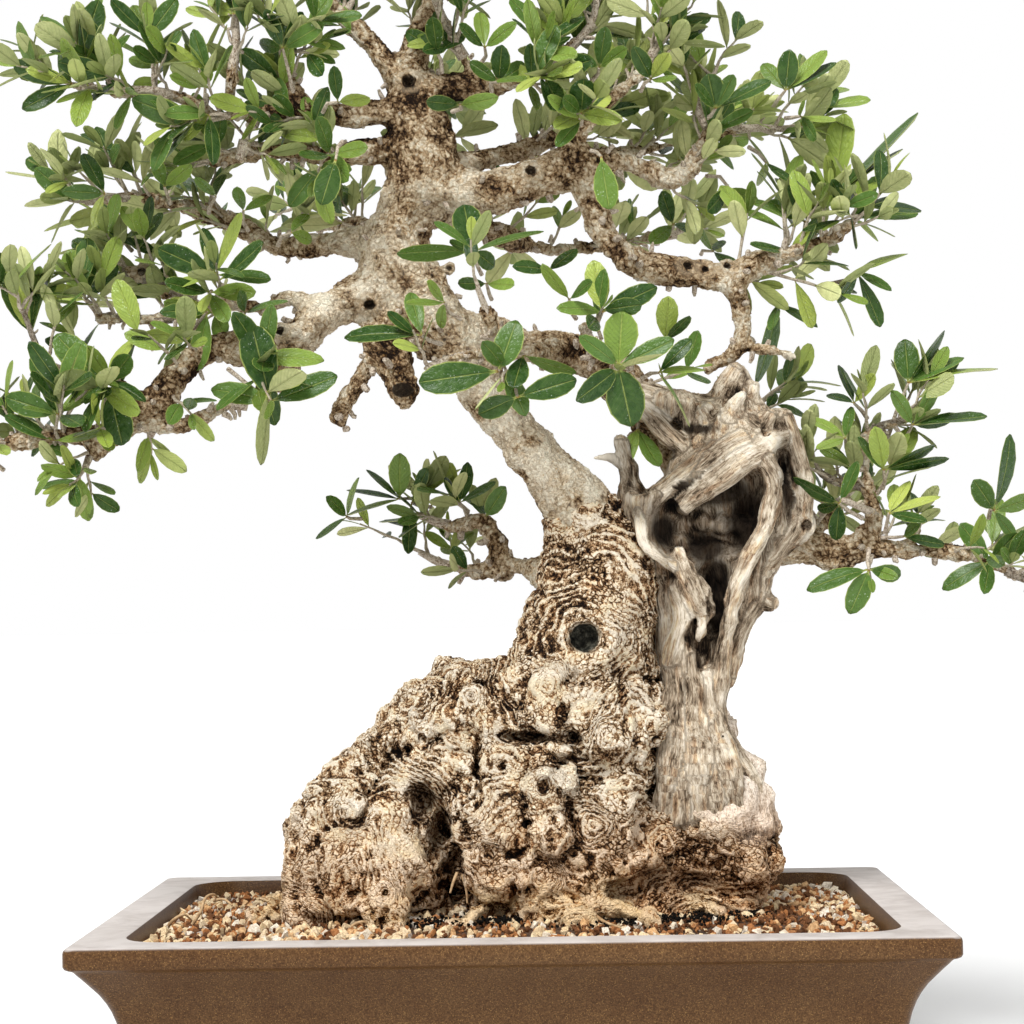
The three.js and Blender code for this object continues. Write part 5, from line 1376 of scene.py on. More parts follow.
# Dark, broken bark near the forks, and a painted shadow in a fork (the one at x -42, z 332), as x, z, half
# width and half height on the front.
DARK_BARK_AND_FORK_SHADOW = [
    [-50, 400, 26, 17], [-60, 376, 15, 16], [-36, 392, 16, 18], [-57, 343, 11, 10], [-42, 332, 9, 10],
    [28, 368, 24, 10], [-36, 374, 14, 13], [-6, 351, 11, 7], [-62, 284, 16, 8], [50, 345, 8, 14],
    [-105, 395, 20, 6], [-148, 262, 16, 7], [-60, 260, 14, 12], [60, 262, 18, 8],
]


def limbs_field():
    field = Field((-276, -78, 146), (272, 120, 512), LIMB_STEP)
    for name, route in LIMBS.items():
        if name in SURFACE_ROOTS:
            continue
        route = TRUNK_CORE + route[5:] if name == "trunk" else route
        thick = [p for p in route if p[3] >= LEAST_LIMB]
        if len(thick) > 1:
            field.tube(thick, 0.6 * thick[0][3] + 1, swell=LIMB_SWELL)
    return field


def make_limbs():
    field = limbs_field()
    bumps = 1.7 * field.noise(14, 31) + 1.3 * field.noise(6.5, 32) + 0.7 * field.noise(3.8, 33)
    near = np.abs(field.d) < 12
    field.d[near] += bumps[near]
    holes = []
    for x, z, radius in PRUNED:
        y = field.face(x, z)
        field.add([x, y + 0.5 * radius, z, radius * 1.1, radius, radius], 1.5)
        holes.append([x, y - 0.5 * radius, z, radius * 0.52, radius * 1.1, radius * 0.46])
        field.hollow(holes[-1], 0.8)
    points, quads = field.skin()
    normals = point_normals(points, quads)
    lip = np.zeros(len(points))
    for hole in holes:
        lip = np.maximum(lip, np.clip(1.1 - np.abs(ellipsoid(*points.T, hole) - 2.2) / 1.8, 0, 1))
    # Painted shade in the pruning holes, joined with the black end of the cut stub.
    scar = np.maximum(within(points.T, holes, 0.6, 1.2), reaches(points, [CUT_END], 0.2))
    mesh = mesh_from("limbs", plant(points), quads, {
        "scar": scar, "lip": lip, "pale": around(points, PALE_STRETCHES, 1.35),
        "dark": reaches(points, DARK_BARK_AND_FORK_SHADOW, 0.6), "hidden": field.hidden(points, normals, 7.0),
        "crest": field.crest(points, normals, 3.0)})
    return link("limbs", mesh)


# ------------------------------------------------------------------ twigs and leaves

# Rows of a blade: share of its length, and half width as a share of its width.
LEAF_ROWS = [(0.0, 0.045), (0.08, 0.055), (0.19, 0.25), (0.37, 0.43), (0.57, 0.50), (0.77, 0.445),
             (0.93, 0.27), (1.0, 0.05)]
LEAF_COLUMNS = [-1.0, -0.5, 0.0, 0.5, 1.0]
LEAF_THICKNESS, LEAF_WIDTH = 0.022, 0.40  # of the length
# Forms of blade: where it is widest, how much it droops, folds and twists.
LEAF_FORMS = [(0.00, 0.10, 0.16, 0.05), (0.10, 0.03, 0.24, -0.12), (-0.08, 0.17, 0.12, 0.14),
              (0.05, -0.06, 0.20, 0.0)]


def leaf_form(index):
    """A closed thin blade of length and width 1, from its petiole along +Y, upper face to +Z."""
    shift, droop, fold, twist = LEAF_FORMS[index]
    points, along, across = [], [], []

    def put(y, half, column, side):
        x = half * column
        bulge = (1 - column * column) * LEAF_THICKNESS / 2 * min(1.0, half / 0.2 + 0.3)
        rib = 0.012 if column == 0 and 0.05 < y < 0.95 else 0.0
        lift = fold * abs(x) * LEAF_WIDTH * (1 - 0.5 * abs(column)) - droop * y * y
        points.append((x, y, lift + twist * y * x + side * bulge - rib))
        along.append(y)
        across.append(column)
        return len(points) - 1

    top, bottom = [], []
    for y, half in LEAF_ROWS:
        if 0.1 < y < 0.99:
            y = y + shift * y * (1 - y) * 2
        upper = [put(y, half, c, 1) for c in LEAF_COLUMNS]
        top.append(upper)
        bottom.append([upper[0], put(y, half, 0.0, -1), upper[-1]])
    faces, underside = [], []
    for k in range(len(top) - 1):
        for i in range(4):
            faces.append((top[k][i], top[k][i + 1], top[k + 1][i + 1], top[k + 1][i]))
            underside.append(0.0)
        for i in range(2):
            faces.append((bottom[k][i], bottom[k + 1][i], bottom[k + 1][i + 1], bottom[k][i + 1]))
            underside.append(1.0)
    faces.append(tuple(bottom[0] + top[0][-2:0:-1]))
    faces.append(tuple(top[-1] + bottom[-1][-2:0:-1]))
    underside += [0.0, 0.0]
    mesh = bpy.data.meshes.new(f"leaf_form_{index}")
    mesh.from_pydata(points, [], faces)
    keep(mesh, "along", along)
    keep(mesh, "across", across)
    keep(mesh, "underside", underside, "FACE")
    margin = mesh.attributes.new("sharp_edge", "BOOLEAN", "EDGE")
    margin.data.foreach_set("value", [abs(across[a]) == 1 and abs(across[b]) == 1 for a, b in mesh.edge_keys])
    smooth(mesh)
    return mesh


def leaf_tree():
    """Sets one of the leaf forms on every point, turned and sized as the point says."""
    tree, inp, out = geometry_tree("set_leaves", {"Forms": "NodeSocketCollection",
                                                  "Material": "NodeSocketMaterial"})
    forms = node(tree, "GeometryNodeCollectionInfo",
                 {"Collection": inp["Forms"], "Separate Children": True, "Reset Children": True})
    turned = node(tree, "FunctionNodeEulerToRotation", {0: read(tree, "turn", "FLOAT_VECTOR")})[0]
    placed = node(tree, "GeometryNodeInstanceOnPoints",
                  {"Points": inp["Mesh"], "Instance": forms[0], "Pick Instance": True,
                   "Instance Index": node(tree, "FunctionNodeFloatToInt", {0: read(tree, "form")})[0],
                   "Rotation": turned, "Scale": read(tree, "size", "FLOAT_VECTOR")})[0]
    finished(tree, placed, inp["Material"], out)
    return tree


def twig_tree():
    """A round skin along every line, as thick as its points say."""
    tree, inp, out = geometry_tree("twig_skin", {"Sides": 6, "Unevenness": 0.25,
                                                 "Material": "NodeSocketMaterial"})
    curve = node(tree, "GeometryNodeMeshToCurve", {0: inp["Mesh"]})[0]
    place = node(tree, "GeometryNodeInputPosition")[0]
    wobble = noise(place, 160.0, 1.0, 0.5)
    swell = 1.0 + inp["Unevenness"] * (wobble - 0.5)
    radius = read(tree, "thick") * swell
    curve = node(tree, "GeometryNodeSetCurveRadius", {"Curve": curve, "Radius": radius})[0]
    ring = node(tree, "GeometryNodeCurvePrimitiveCircle", {"Resolution": inp["Sides"], "Radius": 1.0})
    values = {"Curve": curve, "Profile Curve": ring["Curve"], "Fill Caps": True}
    skin = node(tree, "GeometryNodeCurveToMesh", values)
    if "Scale" in skin.plain.inputs:
        skin["Scale"] = node(tree, "GeometryNodeInputRadius")[0]
    mesh = node(tree, "GeometryNodeSetShadeSmooth", {"Geometry": skin[0]})[0]
    finished(tree, mesh, inp["Material"], out)
    return tree


def unit(v):
    """A vector of length 1."""
    v = np.asarray(v, float)
    return v / max(1e-9, np.linalg.norm(v))


UP = np.array([0.0, 0.0, 1.0])
TO_VIEWER = np.array([0.0, -1.0, 0.0])


class Foliage:
    """Leaves and twigs of one region, gathered in the tree's own frame."""

    def __init__(self):
        self.leaves, self.lines = [], []

    def leaf(self, root, tip, face, width, random, young=0.0):
        """One leaf from its petiole to its tip, its upper side turned as near to face as it can."""
        root, tip = np.asarray(root, float), np.asarray(tip, float)
        along = tip - root
        length = np.linalg.norm(along)
        along = along / length
        up = unit(np.asarray(face) - along * np.dot(face, along))
        across = np.cross(along, up)
        turned = Matrix((across, along, up)).transposed().to_3x3()
        tint, form = random.uniform(0, 1), random.integers(len(LEAF_FORMS))
        self.leaves.append((root, turned, (width, length, length), form, tint, young))

    def line(self, points, radii):
        self.lines.append((np.asarray(points, float), np.asarray(radii, float)))

    def shoot(self, root, tip, pairs, length, random, bare, thick=1.1, young=0.0):
        """A leafy twig: pairs of leaves, each turned a quarter from the last, and a leaf at its end."""
        root, tip = np.asarray(root, float), np.asarray(tip, float)
        along = unit(tip - root)
        reach = np.linalg.norm(tip - root)
        side = unit(np.cross(along, UP + random.normal(0, 0.3, 3)))
        bow = side * random.uniform(-0.08, 0.08) * reach + UP * random.uniform(-0.06, 0.05) * reach
        shares = np.linspace(0, 1, 6)
        points = root + np.outer(shares, tip - root) + np.outer(4 * shares * (1 - shares), bow)
        points[1:-1] += random.normal(0, 0.35, (4, 3))
        points[1:-1] += random.normal(0, 0.3, (4, 3))
        self.line(points, np.linspace(thick, 0.5, 6) * np.array([1, 1.15, 0.9, 1.2, 0.95, 1]))
        spin = random.uniform(0, np.pi)
        for k in range(pairs):
            share = bare + (1 - bare) * (k + 0.6) / pairs
            node_at = np.array([np.interp(share, shares, points[:, n]) for n in range(3)])
            fullness = 0.84 + 0.32 * np.sin(np.pi * (k + 0.8) / (pairs + 0.6))
            size = length * fullness * random.uniform(0.82, 1.12)
            angle = math.radians(66 - 26 * share) * random.uniform(0.8, 1.15)
            for half in (0, np.pi):
                if random.uniform() < 0.06:
                    continue
                turn_at = spin + half + k * np.pi / 2 + random.normal(0, 0.22)
                out = np.cos(turn_at) * side + np.sin(turn_at) * np.cross(along, side)
                direction = unit(along * math.cos(angle) + out * math.sin(angle) + UP * 0.12)
                self.leaf_on(node_at, direction, size, along, random, young)
        direction = unit(along + random.normal(0, 0.25, 3))
        self.leaf_on(points[-1] - along, direction, length * random.uniform(0.55, 0.85),
                     unit(UP + TO_VIEWER), random, young + 0.25)

    def leaf_on(self, node_at, direction, size, along, random, young):
        """One leaf on a twig, turned up and outward more or less."""
        outward = unit([node_at[0] * 0.15, node_at[1] - 4, 1])
        face = unit(along * 0.4 + UP * 0.55 + outward * 0.28 + random.normal(0, 0.42, 3))
        width = size * LEAF_WIDTH * random.uniform(0.8, 1.15)
        self.leaf(node_at, node_at + direction * size, face, width, random, young)


# Tints, from 0 to 1, are raised to a power, which is higher in the regions with deeper greens.
DEEPER_GREEN = {"front": 2.6, "back_low": 1.7}
CROWN_GREEN = 1.45


def line_piece(name, lines, skin_nodes, finish):
    """A piece with a skin round its lines, each of points in the tree's frame and their radii."""
    points, edges, thick = [], [], []
    for line, radii in lines:
        first = len(points)
        points += plant(line).tolist()
        thick += (radii * MM).tolist()
        edges += [(first + i, first + i + 1) for i in range(len(line) - 1)]
    mesh = bpy.data.meshes.new(name)
    mesh.from_pydata(points, edges, [])
    keep(mesh, "thick", thick)
    return run_nodes(link(name, mesh), skin_nodes, Material=finish)


def leaf_piece(name, leaves, power, leaf_nodes, forms, finish):
    """A piece of leaves, set by the node tree on one point for each."""
    lean = Matrix([[math.cos(TREE_LEAN), 0, math.sin(TREE_LEAN)], [0, 1, 0],
                   [-math.sin(TREE_LEAN), 0, math.cos(TREE_LEAN)]])
    roots, turns, sizes, kinds, tints, young = zip(*leaves)
    mesh = bpy.data.meshes.new(name)
    mesh.from_pydata(plant(roots).tolist(), [], [])
    keep(mesh, "turn", [tuple((lean @ turned).to_euler()) for turned in turns])
    keep(mesh, "size", np.array(sizes) * MM)
    keep(mesh, "form", kinds)
    keep(mesh, "tint", [tint ** power for tint in tints])
    keep(mesh, "young", young)
    return run_nodes(link(name, mesh), leaf_nodes, Forms=forms, Material=finish)


VIEW_MIDDLE = (518.0, 904.0)  # of the front view's grid, right and down; two steps to a millimetre
VIEW_DISTANCE = 1200.0


def seen(u, v, depth):
    """The point at a depth y that shows at step u, v of the front view's grid."""
    x, z = (u - VIEW_MIDDLE[0]) / 2, (VIEW_MIDDLE[1] - v) / 2
    far = depth / VIEW_DISTANCE
    return np.array([x + (x - LEAN_PIVOT[0]) * far, depth, z + (z - LEAN_PIVOT[1]) * far])


# Leaves that face the viewer, by region: depth, where their twig starts and ends on the view's
# grid, and their tips there, each with the width that shows.
SHOWN_LEAVES = [
    ("left_main", [
        [-52, (225, 369), (268, 402), [(249, 325, 36), (336, 378, 24), (208, 385, 20)]],
        [-30, (230, 300), (212, 274),
         [(155, 248, 26), (241, 213, 16), (203, 226, 14), (268, 278, 12), (165, 283, 10)]],
        [-34, (235, 330), (242, 313), [(279, 295, 11), (235, 289, 10)]],
        [-36, (190, 330), (204, 312), [(193, 371, 22), (159, 307, 14)]],
    ]),
    ("left_low", [
        [-44, (150, 350), (135, 334), [(111, 278, 24), (189, 339, 14), (104, 367, 12), (106, 384, 10)]],
        [-58, (90, 440), (106, 391), [(51, 334, 30), (119, 446, 32)]],
        [-60, (60, 450), (54, 415), [(0, 397, 24), (104, 371, 20), (28, 373, 12)]],
        [-56, (60, 450), (50, 441), [(100, 437, 12), (0, 418, 14)]],
        [-54, (85, 455), (75, 481), [(58, 447, 10), (37, 490, 9), (57, 501, 10), (74, 504, 10)]],
        [-50, (36, 363), (26, 334), [(11, 263, 22), (32, 272, 14), (43, 264, 12), (0, 280, 16)]],
    ]),
    ("left_back", [
        [-10, (95, 320), (81, 300), [(65, 249, 30), (42, 289, 14), (112, 262, 12)]],
        [-4, (120, 280), (105, 263), [(67, 239, 20), (52, 267, 16), (108, 210, 18)]],
        [0, (128, 250), (119, 236), [(91, 202, 18), (147, 222, 12), (150, 250, 12)]],
    ]),
    ("left_top", [
        [-44, (90, 95), (66, 80), [(15, 105, 20), (45, 45, 16), (5, 60, 16), (20, 62, 14)]],
        [-42, (112, 87), (96, 60), [(80, 15, 20), (60, 40, 14), (118, 30, 14)]],
        [-40, (150, 87), (152, 60), [(150, 26, 16), (172, 40, 14), (128, 44, 14)]],
        [-38, (186, 97), (195, 85), [(205, 66, 12), (170, 70, 12)]],
        [-36, (232, 36), (229, 10), [(229, -22, 16), (205, -4, 14), (255, -10, 14)]],
        [-34, (290, 90), (279, 45), [(262, 6, 16), (318, 20, 20), (250, 40, 14), (300, 8, 14)]],
        [-46, (225, 114), (205, 112), [(163, 105, 14), (180, 138, 14), (212, 160, 14)]],
        [-40, (320, 110), (335, 100), [(366, 96, 12), (330, 62, 14)]],
        [-50, (340, 140), (333, 158), [(318, 203, 26)]],
    ]),
    ("left_high", [
        [-18, (125, 196), (100, 192), [(60, 188, 16), (78, 150, 18), (84, 226, 14)]],
        [-16, (166, 202), (160, 185), [(150, 155, 14), (186, 166, 12)]],
        [-16, (205, 212), (212, 195), [(218, 172, 12), (192, 178, 10)]],
        [-20, (245, 230), (240, 210), [(233, 186, 12), (268, 196, 12)]],
        [-20, (275, 245), (288, 232), [(304, 212, 12), (312, 240, 14)]],
    ]),
    ("left_low", [
        [-56, (0, 471), (-14, 456), [(-44, 438, 18), (-30, 480, 14)]],
    ]),
    ("front", [
        [-48, (480, 275), (472, 251),
         [(462, 204, 30), (395, 250, 14), (540, 225, 12), (446, 244, 12), (495, 268, 18)]],
        [-50, (490, 300), (485, 284), [(458, 283, 12), (512, 285, 12)]],
        [-44, (560, 290), (547, 271), [(516, 262, 12), (575, 250, 12)]],
        [-52, (460, 320), (443, 303), [(426, 282, 12), (436, 330, 12), (405, 303, 12)]],
        [-54, (440, 345), (420, 336), [(343, 326, 14), (408, 292, 18)]],
        [-60, (500, 340), (497, 372), [(417, 383, 32), (515, 320, 28)]],
        [-62, (505, 380), (516, 398), [(476, 416, 22), (575, 381, 24)]],
        [-50, (510, 345), (522, 356), [(573, 378, 10), (512, 388, 22)]],
        [-48, (600, 340), (601, 313), [(592, 260, 24), (656, 287, 22), (559, 303, 12)]],
        [-50, (575, 320), (568, 300), [(540, 268, 12), (590, 282, 10)]],
        [-60, (610, 350), (617, 367), [(621, 313, 34), (673, 342, 20), (630, 427, 38), (582, 336, 16)]],
        [-54, (640, 380), (657, 374), [(690, 340, 14), (704, 365, 12), (696, 422, 8)]],
        [-40, (655, 350), (664, 342), [(667, 296, 22), (688, 318, 12)]],
        [6, (640, 420), (636, 430), [(657, 470, 18), (620, 462, 14)]],
    ]),
    ("back_low", [
        [62, (420, 500), (398, 500), [(398, 456, 24), (345, 490, 10), (345, 515, 10), (365, 470, 10)]],
        [60, (430, 508), (410, 504), [(454, 464, 14), (425, 470, 12), (405, 555, 16)]],
        [58, (465, 520), (458, 504), [(470, 468, 12), (495, 485, 10), (440, 480, 10)]],
        [60, (480, 535), (484, 518), [(501, 492, 20), (470, 500, 10)]],
        [64, (360, 520), (345, 518), [(316, 541, 8), (330, 498, 10), (350, 480, 10)]],
    ]),
    ("top", [
        [-20, (440, 70), (435, 50), [(430, 12, 18), (402, 26, 18), (462, 30, 14)]],
        [-24, (480, 60), (483, 45), [(478, 8, 16), (512, 20, 16), (455, 22, 14)]],
        [-30, (490, 90), (497, 80), [(500, 45, 20), (525, 62, 18), (470, 60, 12)]],
        [-34, (450, 110), (458, 103), [(425, 100, 12), (492, 100, 12)]],
        [-36, (570, 120), (580, 112), [(583, 78, 28), (560, 95, 16), (612, 90, 18), (618, 118, 18)]],
        [-32, (540, 90), (530, 80), [(505, 62, 18), (555, 22, 20), (530, 40, 14)]],
        [-30, (590, 80), (598, 66), [(605, 24, 18), (628, 46, 16), (572, 52, 14)]],
        [-52, (590, 150), (600, 156), [(608, 210, 24)]],
        [-28, (640, 90), (650, 78), [(636, 48, 18), (668, 52, 16), (676, 80, 12)]],
    ]),
    ("right_top", [
        [-18, (702, 121), (715, 108), [(707, 72, 26), (733, 74, 16), (770, 79, 14), (692, 84, 14)]],
        [-14, (772, 108), (785, 90), [(790, 50, 22), (828, 52, 16), (837, 65, 12), (762, 62, 16)]],
        [-12, (785, 118), (800, 116), [(800, 100, 10), (835, 124, 12), (818, 140, 10)]],
        [4, (813, 225), (832, 200),
         [(843, 113, 24), (826, 156, 16), (811, 176, 12), (864, 168, 16), (922, 119, 10), (897, 143, 10)]],
        [0, (830, 235), (852, 219), [(878, 178, 14), (892, 190, 12), (917, 213, 12), (880, 240, 10)]],
        [6, (705, 176), (728, 188), [(756, 203, 14), (708, 212, 12)]],
        [6, (748, 147), (765, 162), [(792, 186, 12), (760, 190, 12)]],
        [-4, (800, 240), (804, 223), [(768, 203, 16), (788, 186, 14), (822, 190, 10)]],
        [-6, (770, 262), (789, 252), [(748, 248, 12), (811, 226, 12)]],
        [-10, (830, 285), (856, 273), [(904, 248, 12), (843, 302, 12), (880, 328, 14), (890, 289, 12)]],
        [40, (665, 235), (672, 225), [(650, 243, 18), (661, 192, 18), (693, 232, 12)]],
        [44, (700, 255), (712, 252), [(691, 225, 12), (722, 243, 10), (735, 268, 12)]],
        [10, (780, 300), (776, 305), [(770, 330, 12), (817, 325, 12), (764, 386, 22)]],
    ]),
    ("right_low", [
        [0, (885, 440), (906, 385), [(904, 340, 26), (944, 333, 14), (960, 355, 14), (992, 357, 14)]],
        [0, (885, 450), (910, 427), [(940, 383, 14), (956, 421, 12), (895, 393, 14), (984, 416, 6)]],
        [4, (865, 420), (852, 405), [(838, 366, 14), (825, 393, 10), (872, 376, 12)]],
        [-2, (855, 450), (843, 440), [(809, 416, 12), (816, 450, 12), (850, 410, 10)]],
        [-6, (880, 490), (881, 472), [(874, 431, 20), (853, 440, 12), (933, 448, 14), (945, 457, 10)]],
        [-20, (860, 520), (837, 505), [(789, 484, 14), (857, 464, 12), (833, 540, 18), (815, 512, 10)]],
        [-12, (882, 535), (886, 515), [(920, 500, 12), (936, 494, 10), (905, 478, 14), (922, 520, 12)]],
        [-10, (878, 539), (900, 538), [(940, 548, 12), (915, 524, 10)]],
        [-24, (866, 550), (866, 571), [(847, 615, 24), (898, 577, 18), (803, 583, 14)]],
        [-6, (970, 560), (986, 563), [(957, 525, 20), (937, 585, 14), (981, 592, 16), (1013, 535, 18)]],
        [-6, (985, 520), (990, 512), [(973, 484, 22), (1019, 440, 14), (1030, 500, 18), (1010, 540, 14)]],
        [-4, (1020, 575), (1040, 562), [(1060, 530, 16), (1075, 560, 16), (1056, 590, 14)]],
    ]),
]


def shown_leaves(regions, random):
    """Sets the leaves that face the viewer, each as its tip, its length and its width show."""
    twigs = [(region, *row) for region, rows in SHOWN_LEAVES for row in rows]
    for region, depth, start, end, tips in twigs:
        root = seen(*start, depth + 10)
        node_at = seen(*end, depth)
        bend = (root + node_at) / 2 + random.normal(0, 1.2, 3)
        regions[region].line([root, bend, node_at], [1.2, 1.0, 0.7])
        for u, v, width in tips:
            flat = seen(u, v, depth)
            reach = np.linalg.norm(flat - node_at)
            usual = random.uniform(21, 27)
            away = math.sqrt(max(0.0, usual ** 2 - reach ** 2)) * (-1 if random.uniform() < 0.65 else 0.7)
            tip = seen(u, v, depth + np.clip(away, -16, 16))
            length = np.linalg.norm(tip - node_at)
            shows = width / 2
            natural = max(shows, length * 0.36)
            roll = math.acos(min(1.0, shows / natural)) * (1 if random.uniform() < 0.75 else -1)
            direction = unit(tip - node_at)
            facing = unit(TO_VIEWER - direction * np.dot(TO_VIEWER, direction))
            sideways = np.cross(direction, facing)
            if sideways[2] < 0:
                sideways = -sideways
            face = facing * math.cos(roll) + sideways * math.sin(roll)
            regions[region].leaf(node_at, tip, face, natural, random)


# The region of leaves that each limb and spray belongs to, by the start of its name.
REGION_OF = {
    "left_top": "left_top", "left_high": "left_high", "left_back": "left_back", "left_middle": "left_main",
    "left_main": "left_main", "left_low": "left_low", "front": "front", "second_trunk": "front",
    "top": "top", "apex": "top", "right_top": "right_top", "right_high": "right_top",
    "right_main": "right_top", "back_left": "back", "back_centre": "back", "back_right": "back",
    "right_low": "right_low", "back_low": "back_low",
}


def region_of(name):
    named = [key for key in REGION_OF if name.startswith(key)]
    return REGION_OF[max(named, key=len)] if named else "top"


# Further shoots along a limb: region, limb, first and last share of its length, how many.
LIMB_SHOOTS = [
    ["left_top", "left_top", 0.25, 1.0, 19], ["left_top", "left_top_riser", 0.2, 1.0, 4],
    ["left_top", "left_top_fork", 0.2, 1.0, 4], ["left_top", "left_top_drop", 0.4, 1.0, 2],
    ["left_high", "left_high", 0.3, 1.0, 9], ["left_back", "left_back", 0.35, 1.0, 13],
    ["left_main", "left_middle", 0.35, 1.0, 8], ["left_main", "left_middle_riser", 0.3, 1.0, 5],
    ["left_low", "left_low_tip", 0.2, 1.0, 7], ["left_low", "left_low_riser", 0.2, 1.0, 5],
    ["left_main", "left_main", 0.45, 0.95, 6],
    ["top", "top_left", 0.25, 1.0, 12], ["top", "top_right", 0.3, 1.0, 15], ["top", "top_front", 0.2, 1.0, 9],
    ["top", "apex_left", 0.2, 1.0, 9], ["top", "apex_right", 0.2, 1.0, 9], ["top", "apex_back", 0.2, 1.0, 8],
    ["top", "top_back", 0.3, 1.0, 11], ["top", "trunk", 0.82, 1.0, 9],
    ["right_top", "right_top", 0.3, 1.0, 15], ["right_top", "right_top_riser", 0.2, 1.0, 4],
    ["right_top", "right_top_front", 0.35, 1.0, 9], ["right_top", "right_high", 0.3, 1.0, 12],
    ["right_top", "right_top_back", 0.3, 1.0, 12], ["right_top", "right_main", 0.72, 1.0, 9],
    ["back", "back_left", 0.35, 1.0, 10], ["back", "back_right", 0.3, 1.0, 11],
    ["right_low", "right_low", 0.45, 1.0, 8], ["right_low", "right_low_riser", 0.25, 1.0, 7],
    ["right_low", "right_low_left", 0.3, 1.0, 3], ["right_low", "right_low_back", 0.35, 1.0, 7],
    ["back_low", "back_low", 0.55, 1.0, 4], ["back_low", "back_low_riser", 0.35, 1.0, 5],
    ["right_top", "behind_deadwood", 0.5, 1.0, 5],
]


def grow_foliage():
    """The leaves and twigs of each region: those in sight, one spray for each node, then the rest."""
    regions = {name: Foliage() for name in sorted(set(REGION_OF.values()))}
    random = np.random.default_rng(7)
    shown_leaves(regions, random)
    for name, root, tip, pairs, length in SPRAYS:
        foliage = regions[region_of(name)]
        root, tip = np.array(root, float), np.array(tip, float)
        placed = foliage in (regions["front"], regions["back_low"], regions["right_low"])
        foliage.shoot(root, tip, pairs - placed, length * (0.72 if placed else 0.92), random, bare=0.3)
        for _ in range(0 if placed else int(random.integers(1, 3))):
            start = root + (tip - root) * random.uniform(0.0, 0.4)
            aim = unit(unit(tip - root) + random.normal(0, 0.55, 3))
            foliage.shoot(start, start + aim * random.uniform(14, 24), 2, length * 0.8, random, bare=0.3,
                          thick=0.9)
    for region, limb, first, last, count in LIMB_SHOOTS:
        route = smooth_route(LIMBS[limb])
        for k in range(count):
            share = first + (last - first) * (k + random.uniform(0.1, 0.9)) / count
            if random.uniform() < 0.15:
                continue
            at = min(len(route) - 2, int(share * (len(route) - 1)))
            start, along = route[at, :3], unit(route[at + 1, :3] - route[at, :3])
            out = unit(random.normal(0, 1, 3))
            out = unit(out - along * np.dot(out, along))
            aim = unit(out * 0.75 + along * 0.5 + UP * 0.55)
            reach = random.uniform(12, 26) + route[at, 3]
            regions[region].shoot(start, start + aim * reach, int(random.integers(2, 4)),
                                  random.uniform(16, 24), random, bare=0.4, thick=1.0,
                                  young=float(random.uniform() < 0.15) * 0.5)
    return regions


SPUR_GAP = 7.0


def grow_spurs(regions):
    """Short stubs of old twigs all along the limbs."""
    random = np.random.default_rng(19)
    for name, route in LIMBS.items():
        if name in SURFACE_ROOTS:
            continue
        region = region_of(name)
        line = smooth_route(route, SPUR_GAP)
        for (*at, radius), (*after, _) in zip(line, line[1:]):
            at, along = np.array(at), unit(np.array(after) - at)
            if at[2] < 258 and name == "trunk" or random.uniform() < 0.25:
                continue
            out = random.normal(0, 1, 3)
            out = unit(out - along * np.dot(out, along))
            aim = unit(out + along * random.uniform(-0.1, 0.6) + UP * 0.15)
            reach = random.uniform(1.8, 5.5)
            start = at + out * radius * 0.7
            thick = min(1.9, 0.55 * radius) * random.uniform(0.55, 1.0)
            bend = start + aim * (radius * 0.3 + reach * 0.5) + random.normal(0, 0.3, 3)
            end = bend + unit(aim + random.normal(0, 0.4, 3)) * reach * 0.5
            regions[region].line([start, bend, end], [thick * 1.15, thick, thick * random.uniform(0.45, 0.9)])


def twig_ends(regions):
    """The thin ends of limbs, which the wood's grid is too coarse for."""
    shown = ("left_low", "front", "right_low", "left_middle")
    limbs = [[region_of(name.replace("_stub", "")), name] for name in LIMBS if name.startswith(shown)]
    for region, limb, *_ in LIMB_SHOOTS + limbs:
        route = smooth_route(LIMBS[limb], 6.0)
        thin = np.flatnonzero(route[:, 3] < LEAST_LIMB + 1.2)
        if len(thin) > 1:
            thin = route[max(0, thin[0] - 1):]
            regions[region].line(thin[:, :3], thin[:, 3] - 0.15)


